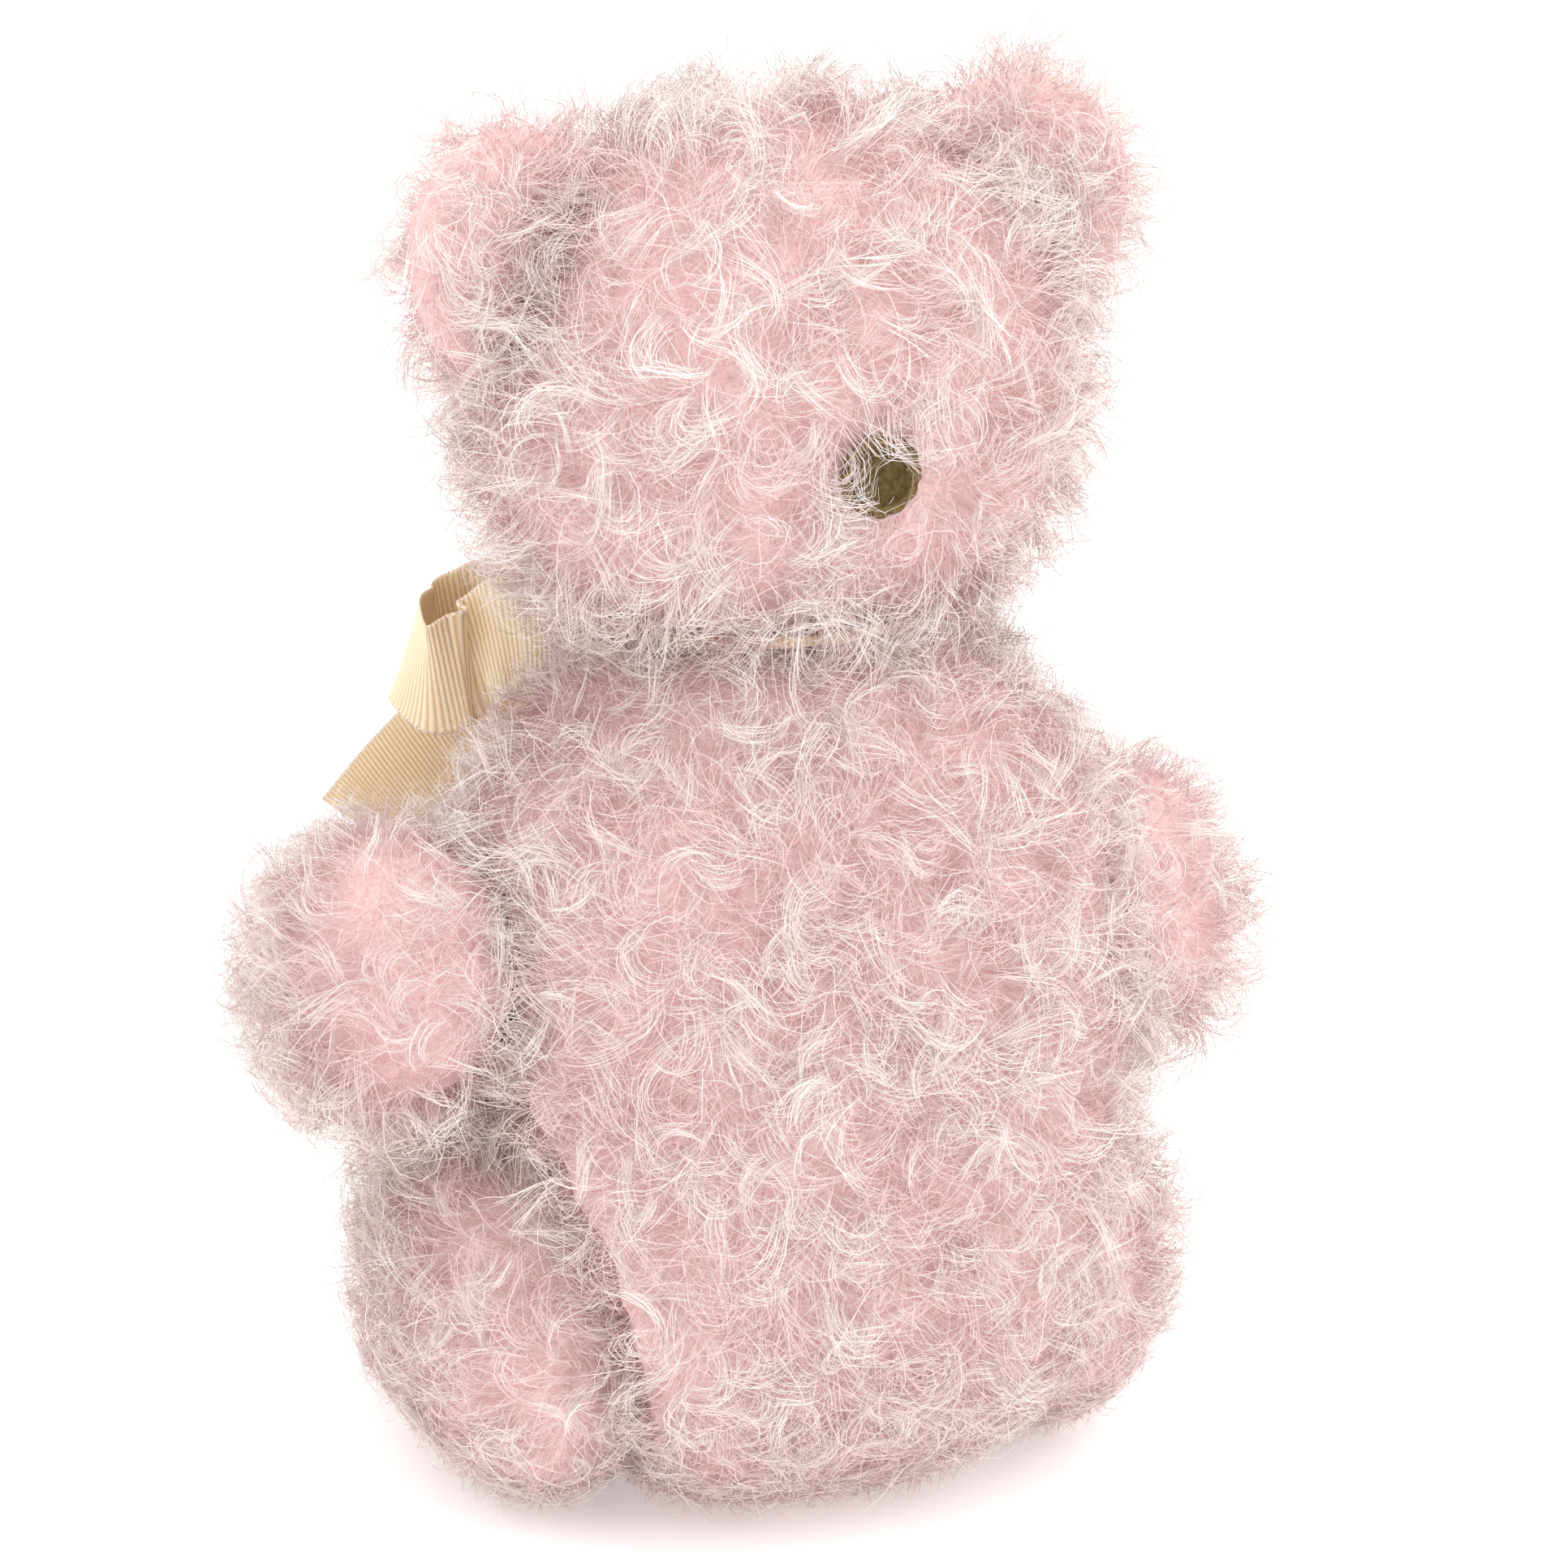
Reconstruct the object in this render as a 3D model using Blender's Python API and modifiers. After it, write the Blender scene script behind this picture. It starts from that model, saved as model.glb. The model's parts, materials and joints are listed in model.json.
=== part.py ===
"""A seated, five-jointed mohair teddy bear with a ribbon bow and a metal button.

Metres, +Z up. The bear faces -Y and its left side is +X. The origin is on the
floor, in the middle of the flat under the body.
"""

import math

import bmesh
import bpy
from mathutils import Matrix, Vector
from mathutils.bvhtree import BVHTree

MM = 0.001

# Driving dimensions.
NECK_HEIGHT = 178 * MM
HEAD_HEIGHT = 95 * MM
HEAD_TILT = math.radians(4)
BODY_HALF_WIDTH = 61.3 * MM
FLANK_HALF_WIDTH = 35.7 * MM
SHOULDER = Vector((BODY_HALF_WIDTH + 0.5 * MM, -2 * MM, 112 * MM))
HIP = Vector((FLANK_HALF_WIDTH + 0.5 * MM, -5 * MM, 38.5 * MM))
THIGH_RADIUS = 38.5 * MM
LEG_REACH = 87.5 * MM
THIGH_FACE_REACH = 58 * MM
DISH_RADIUS = 33 * MM
DISH_RIM = 26 * MM
ARM_DROP = math.radians(15)

FABRIC = 2.0 * MM
CLEAR = 0.3 * MM
JOINT_GAP = 0.5 * MM
STUFFING_GAP = 1.5 * MM
DISC_THICKNESS = 3.0 * MM
WASHER_THICKNESS = 1.0 * MM
WASHER_RADIUS = 5.0 * MM
PIN_WIRE = 0.8 * MM
PIN_HOLE = 2.1 * MM
NECK_DISC = 21 * MM
SHOULDER_DISC = 13 * MM
HIP_DISC = 19.5 * MM

RIBBON_WIDTH = 24 * MM
RIBBON_THICKNESS = 0.6 * MM

COLOURS = {
    "mohair": ((0.80, 0.56, 0.55), 0.95, 0.0),
    "stuffing": ((0.86, 0.82, 0.72), 1.0, 0.0),
    "fibreboard": ((0.36, 0.22, 0.12), 0.8, 0.0),
    "steel": ((0.62, 0.62, 0.63), 0.35, 1.0),
    "felt": ((0.78, 0.62, 0.52), 1.0, 0.0),
    "yarn": ((0.20, 0.10, 0.07), 0.9, 0.0),
    "eye_glass": ((0.08, 0.03, 0.015), 0.05, 0.0),
    "ribbon": ((0.90, 0.76, 0.50), 0.5, 0.0),
    "brass": ((0.42, 0.31, 0.14), 0.4, 1.0),
}


# ---------------------------------------------------------------- scene helpers


def clear_scene():
    for thing in list(bpy.data.objects):
        bpy.data.objects.remove(thing, do_unlink=True)


def new_collection(name):
    made = bpy.data.collections.new(name)
    bpy.context.scene.collection.children.link(made)
    return made


def make_materials():
    made = {}
    for name, (colour, roughness, metallic) in COLOURS.items():
        material = bpy.data.materials.new(name)
        material.use_nodes = True
        shader = material.node_tree.nodes["Principled BSDF"]
        shader.inputs["Base Color"].default_value = (*colour, 1)
        shader.inputs["Roughness"].default_value = roughness
        shader.inputs["Metallic"].default_value = metallic
        made[name] = material
    return made


clear_scene()
PARTS = new_collection("teddy_bear")
CUTTERS = new_collection("cutters")
MATERIALS = make_materials()


def place(name, mesh, material=None, parent=None, matrix=None):
    """An object of this mesh: a part, or a cutter where no material is given."""
    made = bpy.data.objects.new(name, mesh)
    (PARTS if material else CUTTERS).objects.link(made)
    if material:
        mesh.materials.clear()
        mesh.materials.append(MATERIALS[material])
    else:
        made.hide_render = True
        made.display_type = "WIRE"
    made.parent = parent
    if matrix is not None:
        made.matrix_local = matrix
    return made


def axis_empty(name, location, direction, parent=None):
    """An empty on a joint's axis, with its own +Z along direction."""
    made = bpy.data.objects.new(name, None)
    CUTTERS.objects.link(made)
    made.parent = parent
    turn = Vector((0, 0, 1)).rotation_difference(direction)
    made.matrix_local = Matrix.Translation(location) @ turn.to_matrix().to_4x4()
    bpy.context.view_layer.update()
    return made


def mesh_of(name, build):
    """A mesh filled in by build(bm)."""
    bm = bmesh.new()
    build(bm)
    mesh = bpy.data.meshes.new(name)
    bm.to_mesh(mesh)
    bm.free()
    mesh.shade_smooth()
    mesh.set_sharp_from_angle(angle=math.radians(40))
    return mesh


def cylinder_mesh(name, radius, low, high, segments=16):
    def build(bm):
        bmesh.ops.create_cone(
            bm, cap_ends=True, segments=segments, radius1=radius, radius2=radius,
            depth=high - low, matrix=Matrix.Translation((0, 0, (low + high) / 2)))
    return mesh_of(name, build)


def ball_mesh(name, sizes, segments=16, rings=10):
    def build(bm):
        bmesh.ops.create_uvsphere(
            bm, u_segments=segments, v_segments=rings, radius=1,
            matrix=Matrix.Diagonal((*sizes, 1)))
    return mesh_of(name, build)


def boolean(target, cutter, operation="DIFFERENCE"):
    modifier = target.modifiers.new(cutter.name, "BOOLEAN")
    modifier.operation = operation
    modifier.object = cutter


def solidify(target, thickness, offset=-1.0):
    modifier = target.modifiers.new("wall", "SOLIDIFY")
    modifier.thickness = thickness
    modifier.offset = offset


def bore(target, name, radius, low, high, parent=None, matrix=None, segments=16):
    """Cuts a round hole, along the local Z of parent, from low to high."""
    mesh = cylinder_mesh(name, radius, low, high, segments)
    cutter = place(name, mesh, parent=parent, matrix=matrix)
    boolean(target, cutter)


def wire(name, points, radius, material, parent=None, sides=2):
    """Round wire through points, as a mesh with closed ends."""
    curve = bpy.data.curves.new(name, "CURVE")
    curve.dimensions = "3D"
    curve.bevel_depth = radius
    curve.bevel_resolution = sides
    curve.use_fill_caps = True
    spline = curve.splines.new("POLY")
    spline.points.add(len(points) - 1)
    for slot, point in zip(spline.points, points):
        slot.co = (*point, 1)
    guide = place(name + "_guide", curve)
    guide.parent = parent
    bpy.context.view_layer.update()
    graph = bpy.context.evaluated_depsgraph_get()
    mesh = bpy.data.meshes.new_from_object(guide.evaluated_get(graph))
    bm = bmesh.new()
    bm.from_mesh(mesh)
    bmesh.ops.remove_doubles(bm, verts=bm.verts, dist=0.01 * MM)
    bmesh.ops.recalc_face_normals(bm, faces=bm.faces)
    bm.to_mesh(mesh)
    bm.free()
    bpy.data.objects.remove(guide, do_unlink=True)
    return place(name, mesh, material, parent)


# ---------------------------------------------------------------- soft surfaces


def smooth_table(rows, count):
    """Rows of numbers at even steps of length along a smooth curve through rows."""
    def at(position):
        index = min(int(position), len(rows) - 2)
        t = position - index
        picked = [rows[min(max(index + k, 0), len(rows) - 1)] for k in (-1, 0, 1, 2)]
        found = []
        for a, b, c, d in zip(*picked):
            found.append(b + 0.5 * t * (c - a + t * (
                2 * a - 5 * b + 4 * c - d + t * (3 * (b - c) + d - a))))
        return found
    fine = [at(i * (len(rows) - 1) / 400) for i in range(401)]
    steps = [0.0]
    for a, b in zip(fine, fine[1:]):
        steps.append(steps[-1] + math.dist(a, b))
    picked = []
    for i in range(count):
        goal = steps[-1] * i / (count - 1)
        picked.append(fine[min(range(401), key=lambda k: abs(steps[k] - goal))])
    return picked


def superellipse(angle, power):
    """The point at this angle on a unit circle squared up by power."""
    c, s = math.cos(angle), math.sin(angle)
    return (math.copysign(abs(c) ** (2 / power), c),
            math.copysign(abs(s) ** (2 / power), s))


def loft(name, rings, first, last):
    """A closed surface through rings of points, between two end points."""
    def build(bm):
        loops = [[bm.verts.new(point) for point in ring] for ring in rings]
        for low, high in zip(loops, loops[1:]):
            for i, corner in enumerate(low):
                after = (i + 1) % len(low)
                bm.faces.new((corner, low[after], high[after], high[i]))
        for loop, point in ((loops[0], first), (loops[-1], last)):
            tip = bm.verts.new(point)
            for i, corner in enumerate(loop):
                bm.faces.new((corner, loop[(i + 1) % len(loop)], tip))
        bmesh.ops.recalc_face_normals(bm, faces=bm.faces)
        # One fixed diagonal in every quad keeps nested copies of a surface apart.
        bmesh.ops.triangulate(bm, faces=bm.faces, quad_method="FIXED")
    return mesh_of(name, build)


def drawn_in(value, low, high, inset):
    """value moved so that low to high becomes a span shorter by inset at each end."""
    return low + inset + (value - low) * (high - low - 2 * inset) / (high - low)


def press_flat(mesh, point, normal):
    """Presses onto a plane whatever stands out past it."""
    normal = Vector(normal).normalized()
    for corner in mesh.vertices:
        depth = (corner.co - Vector(point)).dot(normal)
        if depth > 0:
            corner.co -= normal * depth
    mesh.update()


def ramp(value):
    value = min(max(value, 0.0), 1.0)
    return value * value * (3 - 2 * value)


def land(mesh, start, direction):
    """Where a straight line meets the surface, and the outward normal there."""
    tree = BVHTree.FromPolygons(
        [corner.co for corner in mesh.vertices], [face.vertices for face in mesh.polygons])
    point, normal, _, _ = tree.ray_cast(Vector(start), Vector(direction).normalized())
    return point, normal


def standing_on(point, normal):
    """A matrix at point whose Z is along normal."""
    turn = Vector((0, 0, 1)).rotation_difference(normal)
    return Matrix.Translation(point) @ turn.to_matrix().to_4x4()


# Height, half width, depth to the back and depth to the front of the body.
BODY_SECTIONS = [
    (0, 22, 17, 22), (4, 36, 28, 35), (13, 50, 40, 45), (28, 60, 50, 52),
    (50, 65, 56, 55), (76, 66, 57, 54), (100, 65, 54, 51), (120, 64.5, 51, 48),
    (133, 62.5, 48, 45), (146, 56, 44, 42), (158, 46, 39, 37), (168, 38, 35, 33),
    (175, 31, 30, 29), (181, 26, 26, 25),
]
BODY_SQUARENESS = 2.5


def body_surface(inset=0.0, segments=30, rings=20):
    """The body's outer surface, or a smaller one inset from it."""
    neck = Vector((0, 0, NECK_HEIGHT))
    loops = []
    for height, width, back, front in smooth_table(BODY_SECTIONS, rings):
        height = drawn_in(height * MM, 0, NECK_HEIGHT, inset)
        loop = []
        for i in range(segments):
            across, along = superellipse(2 * math.pi * (i + 0.5) / segments, BODY_SQUARENESS)
            depth = back if along > 0 else front
            loop.append(Vector((across * (width * MM - inset), along * (depth * MM - inset), height)))
        loops.append(loop)
    mesh = loft("body_surface", loops, (0, 0, -1 * MM), (0, 0, NECK_HEIGHT + 3 * MM))
    for corner in mesh.vertices:
        limit = flank_limit(corner.co, inset)
        corner.co.x = math.copysign(min(abs(corner.co.x), limit), corner.co.x)
    press_flat(mesh, (0, 0, inset), (0, 0, -1))
    up = neck_direction()
    press_flat(mesh, neck - up * (JOINT_GAP + inset), up)
    return mesh


def flank_limit(point, inset):
    """How far out the body may reach, with a dished flank where each thigh sits."""
    behind = max(point.y - HIP.y, 0)
    above = max(point.z - HIP.z, 0)
    past = math.hypot(behind, above) - DISH_RADIUS - inset
    rise = BODY_HALF_WIDTH + 1 * MM - FLANK_HALF_WIDTH
    return min(FLANK_HALF_WIDTH + rise * ramp(past / DISH_RIM), BODY_HALF_WIDTH) - inset


def neck_direction():
    """The neck's axis, leaning to the bear's left."""
    return Vector((math.sin(HEAD_TILT), 0, math.cos(HEAD_TILT)))


# Height over the neck, half width, depth to the back and to the front of the head.
HEAD_SECTIONS = [
    (-1, 24, 24, 22), (1.5, 31, 30, 29), (8, 43, 38, 37), (18, 52, 45, 43),
    (32, 56, 49, 46), (48, 56, 50, 46), (63, 53.5, 47, 42), (76, 47, 40, 35),
    (87, 34, 29, 24), (93, 18, 17, 13),
]
MUZZLE_HEIGHT = 27 * MM
MUZZLE_REACH = 27 * MM
MUZZLE_HALF_WIDTH = 21 * MM
MUZZLE_HALF_HEIGHT = 17 * MM
MUZZLE_BLUNTNESS = 3.4


def head_surface(inset=0.0, segments=32, rings=17):
    """The head in its own frame: origin at the neck, +Z along the neck's axis."""
    loops = []
    for height, width, back, front in smooth_table(HEAD_SECTIONS, rings):
        height = drawn_in(height * MM, 0, HEAD_HEIGHT, inset)
        loop = []
        for i in range(segments):
            turn = 2 * math.pi * (i + 0.5) / segments
            across, along = superellipse(turn - 0.22 * math.cos(turn), 2.2)
            depth = back if along > 0 else front
            loop.append(Vector((across * (width * MM - inset), along * (depth * MM - inset), height)))
        loops.append(loop)
    mesh = loft("head_surface", loops, (0, 0, -2 * MM), (0, 0, HEAD_HEIGHT - inset))
    for corner in mesh.vertices:
        if corner.co.y < 0 and corner.co.z > 2 * MM:
            sideways = abs(corner.co.x) / (MUZZLE_HALF_WIDTH - inset)
            upright = abs(corner.co.z - MUZZLE_HEIGHT) / (MUZZLE_HALF_HEIGHT - inset)
            bump = math.exp(-sideways ** MUZZLE_BLUNTNESS - upright ** MUZZLE_BLUNTNESS)
            corner.co.y -= MUZZLE_REACH * bump * ramp(-corner.co.y / (30 * MM))
    press_flat(mesh, (0, 0, JOINT_GAP + inset), (0, 0, -1))
    return mesh


# Reach along the arm from the shoulder's axis, half thickness and half height.
ARM_SECTIONS = [
    (-24, 8, 10), (-19, 13, 19), (-10, 17, 25), (4, 18, 27.5), (18, 17.5, 27),
    (34, 16, 24.5), (50, 14.5, 21.5), (64, 13.5, 19.5), (76, 11.5, 16.5), (83, 8, 10),
]


def arm_surface(inset=0.0, segments=16, rings=12):
    """An arm in its shoulder's frame: +Z outward, +Y along the arm."""
    loops = []
    heel, tip = -26 * MM, 86 * MM
    for reach, thick, high in smooth_table(ARM_SECTIONS, rings):
        reach = drawn_in(reach * MM, heel, tip, inset)
        middle = 0.86 * thick * MM
        loop = []
        for i in range(segments):
            across, along = superellipse(2 * math.pi * (i + 0.5) / segments, 2.4)
            out = middle + across * (thick * MM - inset)
            loop.append(Vector((along * (high * MM - inset), reach, out)))
        loops.append(loop)
    ends = [Vector((0, heel + inset, 10 * MM)), Vector((0, tip - inset, 8 * MM))]
    mesh = loft("arm_surface", loops, *ends)
    press_flat(mesh, (0, 0, JOINT_GAP + inset), (0, 0, -1))
    return mesh


# Reach forward of the hip's axis, distance out to the middle, height over the
# floor of the middle, half thickness and half height of the leg.
LEG_SECTIONS = [
    (-36.5, 18, 38.5, 8, 12), (-30, 18, 38.5, 15, 25), (-18, 18.2, 38.5, 20.5, 34),
    (-4, 18.6, 38.5, 21.5, 38.3), (8, 18.6, 38, 21.5, 38), (22, 18, 34.5, 20.5, 34),
    (36, 16.5, 30, 18, 29), (50, 13, 26.5, 15.5, 25), (62, 9.5, 30, 15.5, 27.5),
    (71, 8, 34, 16, 31.5), (79, 7.5, 37.5, 16.5, 35.5), (85, 7.2, 38.5, 15.5, 36.5),
    (87, 7, 38.5, 12, 32),
]


LEG_TUCK = 0.3
HEEL_OUT = 19 * MM
SOLE_OUT = 7 * MM


def leg_surface(sign, inset=0.0, segments=16, rings=15):
    """A leg in the bear's frame, seated, with a flat calf on the floor."""
    loops = []
    for reach, out, height, thick, high in smooth_table(LEG_SECTIONS, rings):
        reach = drawn_in(reach * MM, -THIGH_RADIUS, LEG_REACH, inset)
        loop = []
        for i in range(segments):
            across, along = superellipse(2 * math.pi * (i + 0.5) / segments, 2.4)
            if across > 0:
                across *= 1 - LEG_TUCK * min(along, 0) ** 2
            x = HIP.x + out * MM + across * (thick * MM - inset)
            loop.append(Vector((sign * x, HIP.y - reach, height * MM + along * (high * MM - inset))))
        loops.append(loop)
    heel = Vector((sign * (HIP.x + HEEL_OUT), HIP.y + THIGH_RADIUS - inset, HIP.z))
    sole = Vector((sign * (HIP.x + SOLE_OUT), HIP.y - LEG_REACH + inset, HIP.z))
    mesh = loft("leg_surface", loops, heel, sole)
    thigh_zone = HIP.x + JOINT_GAP + inset
    for corner in mesh.vertices:
        if corner.co.y > HIP.y - THIGH_FACE_REACH and abs(corner.co.x) < thigh_zone:
            corner.co.x = sign * thigh_zone
    press_flat(mesh, (0, 0, inset), (0, 0, -1))
    return mesh


def cover_and_stuffing(part, surface_of, matrix=None, parent=None):
    """A sewn cover, and the stuffing that fills it. surface_of(inset) makes each surface."""
    cover = place(part + "_cover", surface_of(0.0), "mohair", parent, matrix)
    boolean(cover, place(part + "_inside", surface_of(FABRIC), None, parent, matrix))
    stuffing = place(part + "_stuffing", surface_of(FABRIC + STUFFING_GAP), "stuffing", parent, matrix)
    return cover, stuffing


# ---------------------------------------------------------------- disc joints


def holed_disc(name, radius, low, material, parent, segments, thickness):
    mesh = cylinder_mesh(name, radius, low, low + thickness, segments)
    disc = place(name, mesh, material, parent)
    bore(disc, name + "_bore", PIN_HOLE, low - 1 * MM, low + thickness + 1 * MM, parent, segments=12)
    return disc


def split_pin(name, parent, inner_end, outer_end):
    """A split pin: an eye beyond outer_end, and both tails curled at inner_end."""
    spread = PIN_WIRE + 0.1 * MM
    eye = 2.4 * MM
    eye_height = outer_end + PIN_WIRE + eye + CLEAR
    points = []
    for turn in range(-50, 231, 40):
        angle = math.radians(turn)
        points.append((eye * math.cos(angle), 0, eye_height + eye * math.sin(angle)))
    bend = 1.9 * MM
    tail = []
    for turn in range(0, 151, 30):
        angle = math.radians(turn)
        tail.append((spread + bend * (1 - math.cos(angle)), 0,
                     inner_end - PIN_WIRE - bend * math.sin(angle) * 0.8 - 1.0 * MM))
    right = [(x, y, z) for x, y, z in reversed(tail)]
    left = [(-x, y, z) for x, y, z in tail]
    shoulders = [(spread, 0, outer_end), (-spread, 0, outer_end)]
    path = right + shoulders[:1] + points + shoulders[1:] + left
    return wire(name, path, PIN_WIRE, "steel", parent, sides=1)


def disc_joint(joint, limb, parent, radius, limb_cover, limb_stuffing, body_cover, body_stuffing):
    """Two discs held face to face by a split pin, one inside each cover."""
    start = JOINT_GAP + FABRIC + CLEAR
    washer = start + DISC_THICKNESS + CLEAR
    end = washer + WASHER_THICKNESS
    holed_disc(f"{joint}_{limb}_disc", radius, start, "fibreboard", parent, 20, DISC_THICKNESS)
    holed_disc(f"{joint}_{limb}_washer", WASHER_RADIUS, washer, "steel", parent, 12,
               WASHER_THICKNESS)
    holed_disc(f"{joint}_body_disc", radius, -start - DISC_THICKNESS, "fibreboard", parent, 20,
               DISC_THICKNESS)
    holed_disc(f"{joint}_body_washer", WASHER_RADIUS, -end, "steel", parent, 12, WASHER_THICKNESS)
    split_pin(f"{joint}_pin", parent, -end, end)
    reach = 3 * MM
    bore(limb_cover, f"{joint}_{limb}_hole", PIN_HOLE, -reach, JOINT_GAP + FABRIC + 2 * CLEAR, parent,
         segments=12)
    bore(body_cover, f"{joint}_body_hole", PIN_HOLE, -JOINT_GAP - FABRIC - 2 * CLEAR, reach, parent,
         segments=12)
    room = radius + 2 * CLEAR
    bore(limb_stuffing, f"{joint}_{limb}_pocket", room, -reach, end + 8 * MM, parent, segments=20)
    bore(body_stuffing, f"{joint}_body_pocket", room, -end - 6 * MM, reach, parent, segments=20)


# ---------------------------------------------------------------- body and limbs


def make_body():
    return cover_and_stuffing("body", body_surface)


def make_head(body_cover, body_stuffing):
    neck = axis_empty("neck_axis", Vector((0, 0, NECK_HEIGHT)), neck_direction())
    surface = head_surface()
    cover, stuffing = cover_and_stuffing("head", head_surface, parent=neck)
    outside = place("head_outside", head_surface(-CLEAR), None, neck)
    disc_joint("neck", "head", neck, NECK_DISC, cover, stuffing, body_cover, body_stuffing)
    for side, sign in (("left", 1), ("right", -1)):
        make_ear(side, sign, neck, outside)
        make_eye(side, sign, neck, surface, cover, stuffing, outside)
    make_nose_and_mouth(neck, surface, outside)
    make_button(neck, surface, cover, stuffing)
    return neck


EAR_PLACE = Vector((49, 6, 73)) * MM
EAR_SIZE = Vector((24.5, 8, 26.5)) * MM
EAR_HOLLOW = Vector((19, 7.5, 20)) * MM
EAR_HOLLOW_SHIFT = 9 * MM
EAR_TURN = math.radians(14)
EAR_LEAN = math.radians(32)


def make_ear(side, sign, neck, outside):
    """A padded half disc, dished in front, whose base follows the head."""
    middle = Vector((sign * EAR_PLACE.x, EAR_PLACE.y, EAR_PLACE.z))
    turn = Matrix.Rotation(sign * EAR_TURN, 4, "Z")
    lean = Matrix.Rotation(sign * EAR_LEAN, 4, "Y")
    matrix = Matrix.Translation(middle) @ turn @ lean
    ear = place(f"{side}_ear", ball_mesh(f"{side}_ear", EAR_SIZE, 20, 12), "mohair", neck, matrix)
    hollow = ball_mesh(f"{side}_ear_hollow", EAR_HOLLOW, 16, 10)
    shift = Matrix.Translation((0, -EAR_HOLLOW_SHIFT, 0))
    boolean(ear, place(f"{side}_ear_hollow", hollow, None, neck, matrix @ shift))
    boolean(ear, outside)


IN_FRONT = -120 * MM
EYE_OUT = 17.5 * MM
EYE_HEIGHT = 50 * MM
EYE_SIZE = Vector((5, 5, 4.2)) * MM
EYE_POCKET = 2.6 * MM
SHANK_RADIUS = 0.6 * MM
SHANK_LOOP = 1.5 * MM


def make_eye(side, sign, neck, surface, cover, stuffing, outside):
    """A glass eye on a wire shank that runs back into the stuffing."""
    point, normal = land(surface, (sign * EYE_OUT, IN_FRONT, EYE_HEIGHT), (0, 1, 0))
    seat = standing_on(point, normal)
    eye = place(f"{side}_eye", ball_mesh(f"{side}_eye", EYE_SIZE, 16, 10), "eye_glass", neck, seat)
    bore(eye, f"{side}_eye_socket", SHANK_RADIUS + CLEAR, -5 * MM, 2 * MM, neck, seat, 10)
    boolean(eye, outside)
    bore(cover, f"{side}_eye_hole", SHANK_RADIUS + CLEAR, -4 * MM, 2 * MM, neck, seat, 10)
    bore(stuffing, f"{side}_eye_pocket", EYE_POCKET, -10 * MM, 2 * MM, neck, seat, 10)
    points = [seat @ Vector((0, 0, 1.6 * MM)), seat @ Vector((0, 0, -3.4 * MM))]
    for turn in range(60, 331, 45):
        angle = math.radians(turn)
        across = SHANK_LOOP * math.sin(angle)
        points.append(seat @ Vector((across, 0, SHANK_LOOP * math.cos(angle) - 5.4 * MM)))
    wire(f"{side}_eye_shank", points, SHANK_RADIUS, "steel", neck, sides=1)


NOSE_HEIGHT = 34 * MM
NOSE_SIZE = Vector((9, 6, 3)) * MM
MOUTH_TOP = 26 * MM
MOUTH_LOW = 13.6 * MM
SMILE_RISE = 0.16
STITCH_STEP = 3 * MM
THREAD = 0.7 * MM


def make_nose_and_mouth(neck, surface, outside):
    point, normal = land(surface, (0, IN_FRONT, NOSE_HEIGHT), (0, 1, 0))
    nose = place("nose", ball_mesh("nose", NOSE_SIZE, 16, 8), "yarn", neck,
                 standing_on(point, normal))
    boolean(nose, outside)
    upright = []
    for step in range(4):
        upright.append(stitch_point(surface, 0, MOUTH_TOP - STITCH_STEP * step))
    smile = []
    for step in range(-4, 5):
        sideways = step * STITCH_STEP
        height = MOUTH_LOW + SMILE_RISE * abs(sideways)
        smile.append(stitch_point(surface, sideways, height))
    wire("mouth_upright", upright, THREAD, "yarn", neck, sides=1)
    wire("mouth_smile", smile, THREAD, "yarn", neck, sides=1)


def stitch_point(surface, sideways, height):
    point, normal = land(surface, (sideways, IN_FRONT, height), (0, 1, 0))
    return point + normal * (THREAD + 3 * CLEAR)


BEHIND = 120 * MM
BUTTON_OUT = -2 * MM
BUTTON_HEIGHT = 31 * MM
BUTTON_POST = 0.9 * MM
BUTTON_POST_END = -4.6 * MM
BUTTON_WASHER = 3.2 * MM
BUTTON_POCKET = 3.9 * MM
BUTTON_RADIUS = 4.9 * MM
SCALLOP_DEPTH = 0.22 * MM
BUTTON_SCALLOPS = 12


def make_button(neck, surface, cover, stuffing):
    """A scalloped metal button on a post, with a washer inside the cover."""
    point, normal = land(surface, (BUTTON_OUT, BEHIND, BUTTON_HEIGHT), (0, -1, 0))
    seat = standing_on(point, normal)
    post = BUTTON_POST
    lift = 1.6 * MM
    rings = []
    rows = [(post, BUTTON_POST_END / MM), (post, 1.4), (BUTTON_RADIUS - 0.6 * MM, 1.5),
            (BUTTON_RADIUS, 2.1), (BUTTON_RADIUS - 0.5 * MM, 2.9), (BUTTON_RADIUS - 1.2 * MM, 2.9)]
    for radius, height in rows:
        ring = []
        for i in range(BUTTON_SCALLOPS * 4):
            turn = math.pi * i / (BUTTON_SCALLOPS * 2)
            edge = radius
            if radius > post:
                edge += SCALLOP_DEPTH * math.cos(BUTTON_SCALLOPS * turn)
            ring.append((edge * math.cos(turn), edge * math.sin(turn), height * MM))
        rings.append(ring)
    mesh = loft("button", rings, (0, 0, BUTTON_POST_END), (0, 0, 2.6 * MM))
    place("button", mesh, "brass", neck, seat)
    washer_mesh = cylinder_mesh("button_washer", BUTTON_WASHER, -3.5 * MM, -2.7 * MM, 12)
    washer = place("button_washer", washer_mesh, "steel", neck, seat)
    bore(washer, "button_washer_bore", post + CLEAR, -5 * MM, -2 * MM, neck, seat, 12)
    bore(cover, "button_hole", post + CLEAR, -4 * MM, lift, neck, seat, 12)
    bore(stuffing, "button_pocket", BUTTON_POCKET, -5.4 * MM, lift, neck, seat, 12)


def make_limbs(body_cover, body_stuffing):
    for side, sign in (("left", 1), ("right", -1)):
        make_arm(side, sign, body_cover, body_stuffing)
        make_leg(side, sign, body_cover, body_stuffing)


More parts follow.
